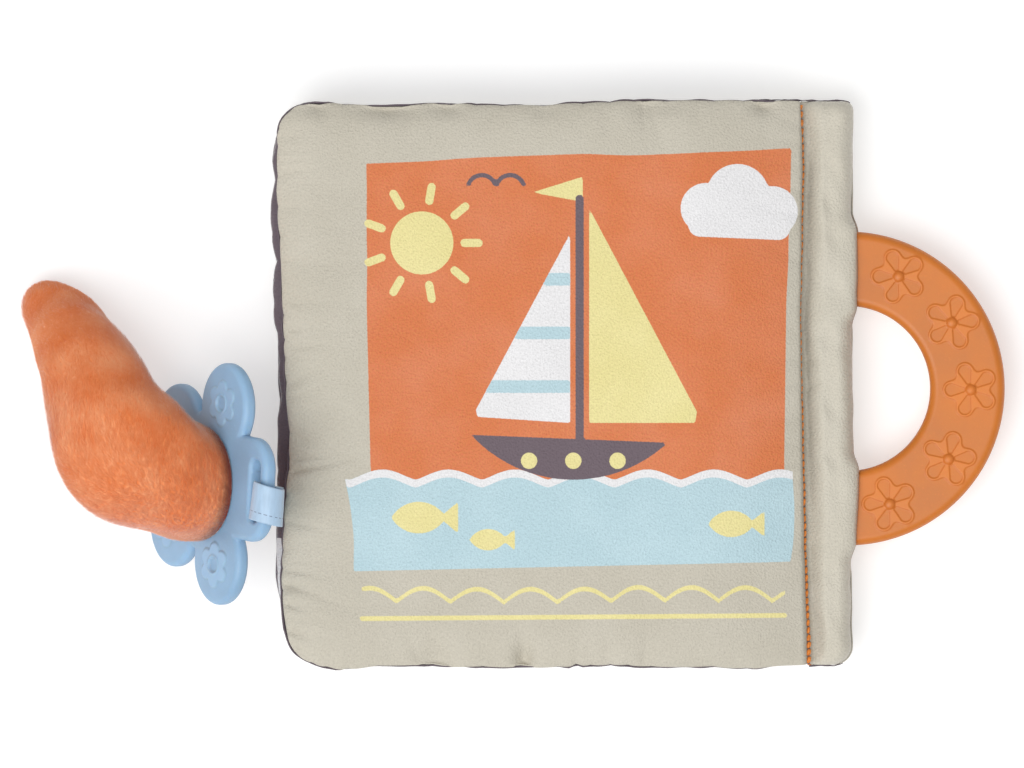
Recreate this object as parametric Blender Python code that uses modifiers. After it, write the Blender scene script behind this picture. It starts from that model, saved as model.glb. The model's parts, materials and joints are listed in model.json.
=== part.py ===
"""Soft cloth baby book with a ring handle and a hanging teether, closed and lying on its back cover.

+X runs from the fore edge to the spine, +Y to the head of the book and +Z up from the table.
The origin is the middle of the back cover's flat face. Lengths are in metres.
"""

import math

import bmesh
import bpy
from mathutils import Matrix, Vector

# Closed book
BOOK_HEIGHT = 0.180
COVER_REACH = 0.1643  # cover hinge to fore edge
SPINE_REACH = 0.0183  # cover hinge to the outer seam of the spine
LEAF_THICKNESS = 0.008
LEAF_COUNT = 4
FABRIC = 0.0006
CLEARANCE = 0.0003
CORNER_RADIUS = 0.011
FLANGE = 0.002  # flat seam allowance round a leaf
EDGE_REACH = 0.024  # width over which a stuffed edge swells
NECK_REACH = 0.036  # width over which a leaf thins towards its hinge
NECK_TUCK = 0.0005  # how far a leaf runs past its hinge axis
COVER_DRAW_IN = 0.0028  # how far a cover's fore edge curves in at its middle
END_DRAW_IN = 0.0012  # the same at head and tail
PAGE_BULGE = 0.0008  # how far a page's fore edge stands out at its middle
COVER_CROWN = 0.0012
PADDING_GAP = 0.0005
COVER_HINGE_RISE = 0.0088  # cover hinge above the middle of the spine
PAGE_HINGE_RISE = 0.002
PAGE_HINGE_INSET = 0.0026  # page hinge from the cover hinge, towards the fore edge
EDGE_SHARES = (0, 0.22, 0.55, 1)
NECK_SHARES = (1, 0.66, 0.33, 0)
INNER_SHARES = (0.5,)

# Spine strip with the handle's bar inside
SPINE_START = 0.0012  # cover hinge to the strip's gutter edge
SPINE_HALF = 0.0073
SPINE_DIP = 0.0022  # the strip is lower along the stitching
SPINE_END = 0.010  # length over which head and tail close
LEG_ARCH_BLEND = 0.006
LEG_BULGE = 0.0016  # how far the strip swells out over a leg
SPINE_SHARES = (0, 0.15, 0.4, 0.65, 0.85, 0.95, 1)
BINDING_HALF = 0.004
BINDING_FACE = 0.0012  # page hinge to the face of the page tabs

# Stitching along the gutter
STITCH_RADIUS = 0.0007
STITCH_LENGTH = 0.0024
STITCH_NECK_SHARE = 0.62
STITCH_SLANT_SHARE = 0.35
TACK_LENGTH = 0.010
TACK_SHARE = 1.2
STITCH_SIDES = 6
STITCH_SETBACK = 0.0023  # cover hinge to the middle of the row

# Ring handle
HANDLE_OUTER = 0.0498
HANDLE_INNER = 0.0261
HANDLE_THICKNESS = 0.008
HANDLE_ROUND = 0.003
HANDLE_CENTRE_INSET = 0.0022  # outer seam to the ring's centre
HANDLE_DROP = 0.0011  # the ring sits a little below the middle
BAR_OUTSET = 0.0046  # cover hinge to the bar
BAR_WIDTH = 0.008
BAR_CORNER = 0.005
RING_STEPS = 24
HANDLE_BLOSSOM_REACH = 0.039
HANDLE_BLOSSOM_ANGLES = (65.6, 32.3, -0.6, -35.1, -70.1)
HANDLE_BLOSSOM_TURNS = (180, 5, 180, 5, 180)
HANDLE_BLOSSOM_RADIUS = 0.0083
BLOSSOM_PETAL_SHARE = 0.38  # radius of a petal's round end
BLOSSOM_RELIEF = 0.0007
BLOSSOM_SINK = 0.0008
BEAD_RADIUS = 0.0026

# Flower teether
PLATE_THICKNESS = 0.0056
PLATE_ROUND = 0.002
PLATE_HUB = 0.023
PLATE_HOLE = 0.013
PETAL_CENTRE = 0.0257
PETAL_RADIUS = 0.014
PETAL_COUNT = 5
LOOP_REACH = 0.0364
LOOP_HALF_HEIGHT = 0.0165
LOOP_CORNER = 0.010
LOOP_BAR = 0.0036
SLOT_WIDTH = 0.0052
SLOT_SPARE = 0.0012  # slot's end past the edge of the ribbon that slides in it
PLATE_STEPS = 60
DAISY_REACH = 0.027
DAISY_RADIUS = 0.0067
DAISY_BEAD = 0.0024
TEETHER_TILT = math.radians(59)
TEETHER_SPIN = math.radians(-5.5)

# Ribbon that carries the teether
RIBBON_WIDTH = 0.012
RIBBON_THICKNESS = 0.0008
RIBBON_LOOP = 0.0042  # inner radius of the loop round the bar
RIBBON_Y = -0.0383  # middle of the ribbon in the fore edge seam
RIBBON_SLIDE = 0.0026  # how far the ribbon lies below the middle of the bar
RIBBON_FOOT = 0.0017  # ribbon's hinge from the seam that it is sewn in
RIBBON_PRESSED = 0.5  # share of its thickness that the ribbon keeps in the seam
RIBBON_STEPS = 14
BAR_FROM_SEAM = (-0.0039, 0.0044, 0.0335)  # teether bar from the ribbon's hinge

# Plush pod
POD_RADIUS = 0.0223
POD_REACH = 0.058
POD_PLUSH = 0.001
POD_STUFFING_GAP = 0.0009
POD_SIDES = 16
POD_MOUTH = 0.0095
POD_TIP_RINGS = 3
POD_LEAN_STATIONS = 6.5  # stations over which the pod bends from the flower towards its tip
POD_STEPS = 2  # rings from one station to the next
POD_SEAT_SHARE = 0.79
POD_SEAT_SHIFT_SHARE = -0.010
POD_AXIS_SHARES = (  # towards the loop, sideways and outwards as shares of the reach, and the radius
    (-0.016, 0.016, 0.182, 0.868),
    (-0.028, 0.096, 0.321, 0.940),
    (-0.069, 0.174, 0.483, 0.970),
    (-0.223, 0.352, 0.552, 0.882),
    (-0.363, 0.503, 0.576, 0.776),
    (-0.507, 0.643, 0.574, 0.642),
    (-0.676, 0.766, 0.565, 0.541),
    (-0.891, 0.872, 0.560, 0.383),
)
POD_HEEL = (-0.0105, 0.0006, 0.0389)  # middle of the swelling on the outside of the bend
POD_HEEL_RISE = (-0.0024, -0.0031, 0.0045)
POD_HEEL_SPREAD = 0.013
BUTTON_RADIUS = 0.017
BUTTON_THICKNESS = 0.0042
BUTTON_ROUND = 0.0012
STEM_PLUG = 0.0028
STEM_SIDES = 32

SMOOTH_ANGLE = math.radians(40)  # faces that meet at less than this are shaded smooth

# Places that follow from the sizes
MERGE_DISTANCE = CLEARANCE / 10
LEAF_PITCH = LEAF_THICKNESS + CLEARANCE
SEAM_HALF = CLEARANCE / 2 + FABRIC
HINGE_X = (COVER_REACH - SPINE_REACH) / 2
TOP_LEVEL = LEAF_THICKNESS / 2 + (LEAF_COUNT - 1) * LEAF_PITCH
SPINE_Z = (LEAF_THICKNESS / 2 + TOP_LEVEL) / 2
SPINE_EDGE_X = HINGE_X + SPINE_REACH
PAGE_HINGE_X = HINGE_X - PAGE_HINGE_INSET
PAGE_REACH = COVER_REACH - PAGE_HINGE_INSET
HANDLE_X = SPINE_EDGE_X - HANDLE_CENTRE_INSET
LEG_INNER = HANDLE_INNER - CLEARANCE
LEG_OUTER = HANDLE_OUTER + CLEARANCE
LEG_HALF = HANDLE_THICKNESS / 2 + CLEARANCE + FABRIC
PLATE_HALF = PLATE_THICKNESS / 2
BAR_MIDDLE = LOOP_REACH - LOOP_BAR / 2
SLOT_LENGTH = RIBBON_WIDTH + 2 * (RIBBON_SLIDE + SLOT_SPARE)

BEIGE = (0.52, 0.47, 0.38)
PLUM = (0.12, 0.09, 0.10)
WADDING = (0.85, 0.85, 0.83)
ORANGE_SILICONE = (0.73, 0.25, 0.07)
ORANGE_PLUSH = (0.68, 0.18, 0.05)
ORANGE_THREAD = (0.75, 0.20, 0.03)
BLUE_SILICONE = (0.29, 0.43, 0.62)
PALE_SATIN = (0.51, 0.66, 0.84)


def clear_scene():
    """Empty the scene of objects."""
    for old in list(bpy.data.objects):
        bpy.data.objects.remove(old, do_unlink=True)


def new_collection(name):
    """A new collection, linked to the scene."""
    group = bpy.data.collections.new(name)
    bpy.context.scene.collection.children.link(group)
    return group


def make_material(name, colour, roughness, sheen=0):
    """A plain surface of one colour."""
    material = bpy.data.materials.new(name)
    material.use_nodes = True
    shader = material.node_tree.nodes["Principled BSDF"]
    shader.inputs["Base Color"].default_value = (*colour, 1)
    shader.inputs["Roughness"].default_value = roughness
    shader.inputs["Metallic"].default_value = 0
    shader.inputs["Sheen Weight"].default_value = sheen
    material.diffuse_color = (*colour, 1)
    return material


def make_empty(name, group, place, parent=None, turn=None):
    """An empty on a hinge axis or at the middle of a group of pieces."""
    empty = bpy.data.objects.new(name, None)
    empty.empty_display_size = FLANGE
    group.objects.link(empty)
    empty.parent = parent
    empty.matrix_basis = Matrix.Translation(place) @ (turn or Matrix.Identity(4))
    return empty


def make_object(name, mesh, group, parent, material=None):
    """An object that holds a mesh in its parent's space."""
    piece = bpy.data.objects.new(name, mesh)
    group.objects.link(piece)
    piece.parent = parent
    if material:
        mesh.materials.append(material)
    return piece


def mesh_from(name, bm):
    """Finish a bmesh as a smooth-shaded mesh with its faces pointing out."""
    bmesh.ops.recalc_face_normals(bm, faces=bm.faces)
    if bm.calc_volume(signed=True) < 0:
        bmesh.ops.reverse_faces(bm, faces=bm.faces)
    mesh = bpy.data.meshes.new(name)
    bm.to_mesh(mesh)
    bm.free()
    mesh.shade_smooth()
    mesh.set_sharp_from_angle(angle=SMOOTH_ANGLE)
    return mesh


def add_strip(bm, first, second, closed):
    """Faces between two rows of vertices."""
    count = len(first)
    for i in range(count if closed else count - 1):
        j = (i + 1) % count
        bm.faces.new((first[i], first[j], second[j], second[i]))


def grid_sheet(rows):
    """An open sheet through rows of points."""
    bm = bmesh.new()
    made = [[bm.verts.new(point) for point in row] for row in rows]
    for first, second in zip(made, made[1:]):
        add_strip(bm, first, second, False)
    return bm


def sheet_mesh(name, rows, outward):
    """A sheet whose faces look along a direction."""
    bm = grid_sheet(rows)
    bm.normal_update()
    mean = sum((face.normal * face.calc_area() for face in bm.faces), Vector())
    if mean.dot(outward) < 0:
        bmesh.ops.reverse_faces(bm, faces=bm.faces)
    mesh = bpy.data.meshes.new(name)
    bm.to_mesh(mesh)
    bm.free()
    mesh.shade_smooth()
    return mesh


def closed_slab(name, top_rows, bottom_rows):
    """A solid between two sheets with matching rows."""
    bm = bmesh.new()
    top = [[bm.verts.new(point) for point in row] for row in top_rows]
    bottom = [[bm.verts.new(point) for point in row] for row in bottom_rows]
    for sheet in (top, bottom):
        for first, second in zip(sheet, sheet[1:]):
            add_strip(bm, first, second, False)
    add_strip(bm, border(top), border(bottom), True)
    return mesh_from(name, bm)


def border(rows):
    """The outer ring of a grid, in order."""
    right = [row[-1] for row in rows[1:]]
    back = list(reversed(rows[-1][:-1]))
    left = [row[0] for row in reversed(rows[1:-1])]
    return list(rows[0]) + right + back + left


def loft_mesh(name, rings, open_start=False):
    """A tube through closed rings, with flat ends unless its start is left open."""
    bm = bmesh.new()
    made = [[bm.verts.new(point) for point in ring] for ring in rings]
    for first, second in zip(made, made[1:]):
        add_strip(bm, first, second, True)
    bm.faces.new(made[-1])
    if not open_start:
        bm.faces.new(made[0])
    return mesh_from(name, bm)


def add_solidify(piece, thickness, even=True):
    """Give an open sheet its thickness on its inner side."""
    solidify = piece.modifiers.new("thickness", "SOLIDIFY")
    solidify.thickness = thickness
    solidify.offset = -1
    solidify.use_even_offset = even


def add_boolean(piece, other, operation):
    """Cut a piece by another, or join the two."""
    boolean = piece.modifiers.new(operation.lower(), "BOOLEAN")
    boolean.object = other
    boolean.operation = operation
    boolean.solver = "EXACT"


def make_guide(name, mesh, group, parent):
    """A wire shape that only cuts or joins."""
    guide = make_object(name, mesh, group, parent)
    guide.hide_render = True
    guide.display_type = "WIRE"
    return guide


def smooth_step(share):
    """0 to 1 with level ends."""
    share = min(max(share, 0), 1)
    return share * share * (3 - 2 * share)


def round_rise(share):
    """The quarter round of a stuffed edge, 0 to 1."""
    share = min(max(share, 0), 1)
    return math.sqrt(1 - (1 - share) ** 2)


def edge_swell(distance):
    """How full a leaf is at a distance from its sewn edge."""
    return round_rise((distance - FLANGE) / (EDGE_REACH - FLANGE))


def edge_stations():
    """Distances from a sewn edge at which a leaf has a row of points."""
    return [0] + [FLANGE + share * (EDGE_REACH - FLANGE) for share in EDGE_SHARES]


def reach_stations(reach):
    """Distances from a leaf's hinge, from its fore edge to past the hinge axis."""
    edge = [reach - distance for distance in edge_stations()]
    flat = edge[-1] - NECK_REACH
    inner = [edge[-1] - share * flat for share in INNER_SHARES]
    neck = [NECK_REACH * share for share in NECK_SHARES]
    return edge + inner + neck[:-1] + [-NECK_TUCK]


def height_stations():
    """Places along Y, from tail to head."""
    half = BOOK_HEIGHT / 2
    tail = [distance - half for distance in edge_stations()]
    head = [-place for place in reversed(tail)]
    inner = [tail[-1] + share * (head[0] - tail[-1]) for share in INNER_SHARES]
    return tail + inner + head


def round_corner(from_fore, from_end):
    """Pull a grid point near a corner onto the corner's round."""
    across = CORNER_RADIUS - from_fore
    along = CORNER_RADIUS - from_end
    if across <= 0 or along <= 0:
        return from_fore, from_end
    scale = max(across, along) / math.hypot(across, along)
    return CORNER_RADIUS - across * scale, CORNER_RADIUS - along * scale


def leaf_point(leaf, reach, place, side, inset):
    """A point of a leaf's face, from its hinge axis; inset sinks it into the leaf."""
    half_height = BOOK_HEIGHT / 2
    neck = smooth_step(reach / NECK_REACH)
    swell = edge_swell(leaf["reach"] - reach) * edge_swell(half_height - abs(place))
    full = LEAF_THICKNESS / 2 - SEAM_HALF
    half = SEAM_HALF + full * neck * swell + leaf["crown"].get(side, 0) * crown_share(leaf, reach, place)
    middle = leaf["rise"] * neck
    from_fore, from_end = round_corner(leaf["reach"] - reach, half_height - abs(place))
    share_y = place / half_height
    share_x = from_fore / leaf["reach"]
    fore_curve = leaf["draw_in"] * (1 - share_y**2) * max(1 - share_x, 0)
    end_curve = END_DRAW_IN * math.sin(math.pi * min(max(share_x, 0), 1)) * abs(share_y)
    x = -(leaf["reach"] - from_fore) + fore_curve
    y = math.copysign(half_height - from_end - end_curve, place) if place else 0
    return Vector((x, y, middle + side * (half - inset)))


def crown_share(leaf, reach, place):
    """The gentle dome of an outer face, 1 in its middle and 0 where its edge begins to swell."""
    inner_half = BOOK_HEIGHT / 2 - EDGE_REACH
    across = (leaf["reach"] - EDGE_REACH - NECK_REACH) / 2
    share_x = (reach - NECK_REACH - across) / across
    share_y = place / inner_half
    return max(1 - share_x**2, 0) * max(1 - share_y**2, 0)


def leaf_rows(leaf, side, inset=0, skip=0, skip_neck=0):
    """Rows of points over one face of a leaf."""
    reaches = reach_stations(leaf["reach"])
    reaches = reaches[skip : len(reaches) - skip_neck]
    places = height_stations()
    places = places[skip : len(places) - skip]
    return [[leaf_point(leaf, reach, place, side, inset) for place in places] for reach in reaches]


def build_leaf(leaf, group, pivot, materials):
    """Two panels sewn edge to edge round a padding."""
    faces = ((leaf["upper"], 1), (leaf["lower"], -1))
    for (name, material), side in faces:
        mesh = sheet_mesh(name, leaf_rows(leaf, side), Vector((0, 0, side)))
        panel = make_object(name, mesh, group, pivot, materials[material])
        add_solidify(panel, FABRIC)
    inset = FABRIC + PADDING_GAP
    rows = [leaf_rows(leaf, side, inset, skip=2, skip_neck=2) for side in (1, -1)]
    name = leaf["name"] + "_padding"
    make_object(name, closed_slab(name, *rows), group, pivot, materials["wadding"])


def leaf_table():
    """The four leaves, from the back cover up."""
    crown = {"front_cover": {1: COVER_CROWN}}
    names = ("back_cover", "page_2", "page_1", "front_cover")
    panels = {
        "back_cover": (("back_cover_lining", "plum"), ("back_cover_outer_panel", "beige")),
        "page_2": (("page_2_front_panel", "plum"), ("page_2_back_panel", "plum")),
        "page_1": (("page_1_front_panel", "plum"), ("page_1_back_panel", "plum")),
        "front_cover": (("front_cover_outer_panel", "beige"), ("front_cover_lining", "plum")),
    }
    leaves = []
    for index, name in enumerate(names):
        is_cover = name.endswith("cover")
        upward = 1 if index >= LEAF_COUNT / 2 else -1
        rise = COVER_HINGE_RISE if is_cover else PAGE_HINGE_RISE
        hinge_z = SPINE_Z + upward * rise
        level = LEAF_THICKNESS / 2 + index * LEAF_PITCH
        leaves.append(
            {
                "name": name,
                "hinge": (HINGE_X if is_cover else PAGE_HINGE_X, 0, hinge_z),
                "rise": level - hinge_z,
                "reach": COVER_REACH if is_cover else PAGE_REACH,
                "draw_in": COVER_DRAW_IN if is_cover else -PAGE_BULGE,
                "crown": crown.get(name, {}),
                "upper": panels[name][0],
                "lower": panels[name][1],
            }
        )
    return leaves


def strip_places():
    """Places along Y of the rows over the spine strip, with rows at the handle's legs."""
    half = BOOK_HEIGHT / 2
    ends = [half, half - FLANGE, half - SPINE_END]
    leg_middle = (LEG_INNER + LEG_OUTER) / 2
    leg = [LEG_OUTER + LEG_ARCH_BLEND, LEG_OUTER, leg_middle, LEG_INNER, LEG_INNER - LEG_ARCH_BLEND]
    upper = ends + [place - HANDLE_DROP for place in leg]
    lower = [-place - HANDLE_DROP for place in reversed(leg)] + [-place for place in reversed(ends)]
    return upper + lower


def over_leg(place):
    """1 over a leg of the handle and 0 away from it."""
    from_ring = abs(place + HANDLE_DROP)
    outside = max(LEG_INNER - from_ring, from_ring - LEG_OUTER, 0)
    return 1 - smooth_step(outside / LEG_ARCH_BLEND)


def strip_point(share, place, side, inset):
    """A point of the spine strip's face, from the cover hinge's X and the middle of the spine."""
    half_height = BOOK_HEIGHT / 2
    end = round_rise((half_height - abs(place) - FLANGE) / (SPINE_END - FLANGE))
    leg = over_leg(place)
    dip = SPINE_DIP * smooth_step(1 - share / SPINE_SHARES[2])
    arch = math.sqrt(1 - share**3)
    edge = SEAM_HALF + (LEG_HALF - SEAM_HALF) * leg
    half = edge + (SPINE_HALF - dip - edge) * arch * end
    x = SPINE_START + share * (SPINE_REACH - SPINE_START + LEG_BULGE * leg)
    return Vector((x, place, side * (half - inset)))


def strip_rows(side, inset=0, skip=0):
    """Rows of points over one face of the spine strip."""
    places = strip_places()
    places = places[skip : len(places) - skip]
    shares = SPINE_SHARES[1:-2] if skip else SPINE_SHARES
    return [[strip_point(share, place, side, inset) for place in places] for share in shares]


def build_spine(group, cutters, centre, handle_seat, materials):
    """The strip's two panels, the padding round the handle's bar and the page tabs."""
    for name, side in (("spine_front_panel", 1), ("spine_back_panel", -1)):
        mesh = sheet_mesh(name, strip_rows(side), Vector((0, 0, side)))
        panel = make_object(name, mesh, group, centre, materials["beige"])
        add_solidify(panel, FABRIC)
    rows = [strip_rows(side, FABRIC + PADDING_GAP, skip=2) for side in (1, -1)]
    padding = make_object(
        "spine_padding", closed_slab("spine_padding", *rows), group, centre, materials["wadding"]
    )
    seat = make_guide("handle_seat", handle_mesh("handle_seat", CLEARANCE), cutters, handle_seat)
    add_boolean(padding, seat, "DIFFERENCE")
    build_tabs(group, centre, materials)


def build_tabs(group, centre, materials):
    """The sewn ends of the two pages, held in the gutter."""
    start = BINDING_FACE - PAGE_HINGE_INSET
    end = SPINE_START + (SPINE_REACH - SPINE_START) * SPINE_SHARES[1] - CLEARANCE
    length = BOOK_HEIGHT - 2 * SPINE_END
    bm = bmesh.new()
    bmesh.ops.create_cube(bm, size=1)
    size = Matrix.Diagonal((end - start, length, 2 * BINDING_HALF, 1))
    bm.transform(Matrix.Translation(((start + end) / 2, 0, 0)) @ size)
    make_object("page_tabs", mesh_from("page_tabs", bm), group, centre, materials["plum"])


def stitch_ring(place, swell):
    """One slanted ring of the twisted stitching, about its own middle."""
    ring = []
    for i in range(STITCH_SIDES):
        angle = math.tau * i / STITCH_SIDES
        radius = STITCH_RADIUS * swell
        slant = STITCH_LENGTH * STITCH_SLANT_SHARE * math.cos(angle)
        ring.append(Vector((radius * math.cos(angle), place + slant, radius * math.sin(angle))))
    return ring


def stitch_mesh(name):
    """A row of twisted stitches from tail to head as one body, with a thicker tack at each end."""
    half = BOOK_HEIGHT / 2 - FLANGE
    count = round(2 * half / STITCH_LENGTH)
    rings = []
    for i in range(2 * count + 1):
        place = -half + half * i / count
        swell = 1 if i % 2 else STITCH_NECK_SHARE
        if half - abs(place) < TACK_LENGTH:
            swell *= TACK_SHARE
        rings.append(stitch_ring(place, swell))
    return loft_mesh(name, rings)


def build_stitching(group, centre, materials):
    """The orange rows in the front and back gutters, seated on the strip."""
    share = (STITCH_SETBACK - SPINE_START) / (SPINE_REACH - SPINE_START)
    seat = strip_point(share, 0, 1, 0).z
    rise = seat + STITCH_RADIUS * TACK_SHARE + CLEARANCE
    for name, side in (("gutter_stitching_front", 1), ("gutter_stitching_back", -1)):
        row = make_object(name, stitch_mesh(name), group, centre, materials["thread"])
        row.location = (STITCH_SETBACK, 0, side * rise)


def handle_pairs(grow):
    """Matching points of the handle's inner and outer outlines, once round."""
    outer, inner = HANDLE_OUTER + grow, HANDLE_INNER - grow
    bar_outside = HINGE_X + BAR_OUTSET - HANDLE_X - grow
    bar_inside = bar_outside + BAR_WIDTH + 2 * grow
    pairs = []
    for i in range(RING_STEPS + 1):
        angle = math.pi * (i / RING_STEPS - 1 / 2)
        ray = Vector((math.cos(angle), math.sin(angle)))
        pairs.append((inner * ray, outer * ray))
    for side in (1, -1):
        corner = []
        for turn in (0, math.pi / 4, math.pi / 2):
            x = bar_outside + BAR_CORNER * (1 - math.sin(turn))
            y = side * (outer - BAR_CORNER * (1 - math.cos(turn)))
            share = math.sin(turn)
            near = Vector((bar_inside, side * (inner - grow * share)))
            corner.append((near, Vector((x, y))))
        pairs += corner if side > 0 else corner[::-1]
    return pairs


def rounded_section(inner, outer, half, radius):
    """A rounded bar section between two points of a flat outline."""
    across = (outer - inner).normalized()
    middle = (inner + outer) / 2
    half_width = (outer - inner).length / 2
    ring = []
    for quarter in range(4):
        for step in range(3):
            angle = math.pi / 2 * quarter + math.pi / 4 * step
            side_x = 1 if quarter in (0, 3) else -1
            side_z = 1 if quarter in (0, 1) else -1
            out = side_x * (half_width - radius) + radius * math.cos(angle)
            up = side_z * (half - radius) + radius * math.sin(angle)
            flat = middle + across * out
            ring.append(Vector((flat.x, flat.y, up)))
    return ring


def handle_mesh(name, grow=0):
    """The D shape of the handle about its ring's centre, grown all round for its seat."""
    half = HANDLE_THICKNESS / 2 + grow
    rings = [rounded_section(a, b, half, HANDLE_ROUND) for a, b in handle_pairs(grow)]
    bm = bmesh.new()
    made = [[bm.verts.new(point) for point in ring] for ring in rings]
    for first, second in zip(made, made[1:] + made[:1]):
        add_strip(bm, first, second, True)
    bmesh.ops.remove_doubles(bm, verts=bm.verts, dist=MERGE_DISTANCE)
    return mesh_from(name, bm)


def blossom_outline(radius, turn):
    """Points round a flower of five round petals."""
    petal = radius * BLOSSOM_PETAL_SHARE
    centre = radius - petal
    points = []
    for leaf in range(PETAL_COUNT):
        middle = turn + math.tau * leaf / PETAL_COUNT
        for step in (-2, -1, 0, 1, 2):
            angle = middle + step * math.pi / 5
            x = centre * math.cos(middle) + petal * math.cos(angle)
            y = centre * math.sin(middle) + petal * math.sin(angle)
            points.append(Vector((x, y)))
    return points


def prism(bm, points, low, high):
    """A flat outline raised between two heights."""
    rings = [[bm.verts.new((p.x, p.y, z)) for p in points] for z in (low, high)]
    add_strip(bm, rings[0], rings[1], True)
    for ring in rings:
        bm.faces.new(ring)


def blossom_guides(name, places, radius, bead, face, group, parent):
    """Raised flowers with a round middle, to be joined to a face."""
    flowers, beads = bmesh.new(), bmesh.new()
    for place, turn in places:
        petals = [place + point for point in blossom_outline(radius, turn)]
        prism(flowers, petals, face - BLOSSOM_SINK, face + BLOSSOM_RELIEF)
        rim = [
            place + bead * Vector((math.cos(a), math.sin(a)))
            for a in (math.tau * i / 2 / PETAL_COUNT for i in range(2 * PETAL_COUNT))
        ]
        prism(beads, rim, face - BLOSSOM_SINK / 2, face + 2 * BLOSSOM_RELIEF)
    return [
        make_guide(name + "_petals", mesh_from(name + "_petals", flowers), group, parent),
        make_guide(name + "_beads", mesh_from(name + "_beads", beads), group, parent),
    ]


def build_handle(group, cutters, seat, materials):
    """The orange teething ring with its straight bar and five raised flowers."""
    handle = make_object("teether_handle", handle_mesh("teether_handle"), group, seat, materials["handle"])
    places = []
    for angle, turn in zip(HANDLE_BLOSSOM_ANGLES, HANDLE_BLOSSOM_TURNS):
        ray = Vector((math.cos(math.radians(angle)), math.sin(math.radians(angle))))
        places.append((HANDLE_BLOSSOM_REACH * ray, math.radians(turn)))
    guides = blossom_guides(
        "handle_flower", places, HANDLE_BLOSSOM_RADIUS, BEAD_RADIUS, HANDLE_THICKNESS / 2, cutters, seat
    )
    for guide in guides:
        add_boolean(handle, guide, "UNION")


def circle_hit(centre, radius, ray):
    """How far a ray from the middle runs to the far side of a circle, or 0 past it."""
    along = centre.dot(ray)
    inside = along**2 - centre.length_squared + radius**2
    return along + math.sqrt(inside) if inside > 0 and along > 0 else 0


def loop_hit(ray):
    """How far a ray runs to the edge of the loop lobe, a rounded box about +X."""
    if ray.x <= 0:
        return 0
    corner = Vector((LOOP_REACH - LOOP_CORNER, LOOP_HALF_HEIGHT - LOOP_CORNER))
    side = abs(ray.y)
    if LOOP_REACH * side <= corner.y * ray.x:
        return LOOP_REACH / ray.x
    if LOOP_HALF_HEIGHT * ray.x <= corner.x * side:
        return LOOP_HALF_HEIGHT / side
    return circle_hit(corner, LOOP_CORNER, Vector((ray.x, side)))


def plate_reach(angle):
    """The flower's edge from its middle at an angle."""
    ray = Vector((math.cos(angle), math.sin(angle)))
    best = max(PLATE_HUB, loop_hit(ray))
    for petal in range(1, PETAL_COUNT):
        turn = math.tau * petal / PETAL_COUNT
        centre = PETAL_CENTRE * Vector((math.cos(turn), math.sin(turn)))
        best = max(best, circle_hit(centre, PETAL_RADIUS, ray))
    return best


def plate_mesh(name):
    """The flower's plate with its round hole, as rings from the hole out and back."""
    steep = PLATE_ROUND * (1 - math.sqrt(1 / 2))
    steps = ((PLATE_ROUND, 0), (steep, steep), (0, PLATE_ROUND))
    profile = [(None, PLATE_HALF)]
    profile += [(inset, PLATE_HALF - drop) for inset, drop in steps]
    profile += [(inset, -height) for inset, height in reversed(profile)]
    bm = bmesh.new()
    rings = []
    for inset, z in profile:
        ring = []
        for i in range(PLATE_STEPS):
            angle = math.tau * i / PLATE_STEPS
            reach = PLATE_HOLE if inset is None else plate_reach(angle) - inset
            ring.append(bm.verts.new((reach * math.cos(angle), reach * math.sin(angle), z)))
        rings.append(ring)
    for first, second in zip(rings, rings[1:] + rings[:1]):
        add_strip(bm, first, second, True)
    return mesh_from(name, bm)


def slot_mesh(name):
    """The cutter for the ribbon's slot, with round ends."""
    outer = LOOP_REACH - LOOP_BAR
    half = SLOT_WIDTH / 2
    run = SLOT_LENGTH / 2 - half
    points = []
    for side in (1, -1):
        for i in range(PETAL_COUNT):
            angle = math.pi * i / (PETAL_COUNT - 1)
            x = outer - half + side * half * math.cos(angle)
            points.append(Vector((x, side * (run + half * math.sin(angle)))))
    bm = bmesh.new()
    prism(bm, points, -PLATE_THICKNESS, PLATE_THICKNESS)
    return mesh_from(name, bm)


def build_plate(group, cutters, hub, materials):
    """The blue flower teether with its slot and four raised daisies."""
    plate = make_object("flower_teether", plate_mesh("flower_teether"), group, hub, materials["plate"])
    slot = make_guide("ribbon_slot", slot_mesh("ribbon_slot"), cutters, hub)
    add_boolean(plate, slot, "DIFFERENCE")
    places = []
    for petal in range(1, PETAL_COUNT):
        turn = math.tau * petal / PETAL_COUNT
        places.append((DAISY_REACH * Vector((math.cos(turn), math.sin(turn))), 0))
    for guide in blossom_guides("daisy", places, DAISY_RADIUS, DAISY_BEAD, PLATE_HALF, cutters, hub):
        add_boolean(plate, guide, "UNION")


def ribbon_outline(foot):
    """The ribbon seen along its bar: an eye round the bar and a doubled tail to the foot.

    The bar is at the middle, and the tail runs to the foot in the same plane."""
    thick = RIBBON_THICKNESS
    outer = RIBBON_LOOP + thick
    tail = foot.normalized()
    side = Vector((-tail.y, tail.x))
    open_angle = math.asin(thick / outer)
    pressed = thick * RIBBON_PRESSED
    points = [foot + side * pressed]
    for i in range(RIBBON_STEPS + 1):
        angle = open_angle + (math.tau - 2 * open_angle) * i / RIBBON_STEPS
        points.append(outer * (math.cos(angle) * tail + math.sin(angle) * side))
    points.append(foot - side * pressed)
    eye = []
    for i in range(RIBBON_STEPS):
        angle = math.tau * i / RIBBON_STEPS
        eye.append(RIBBON_LOOP * (math.cos(angle) * tail + math.sin(angle) * side))
    return points, eye


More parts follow.
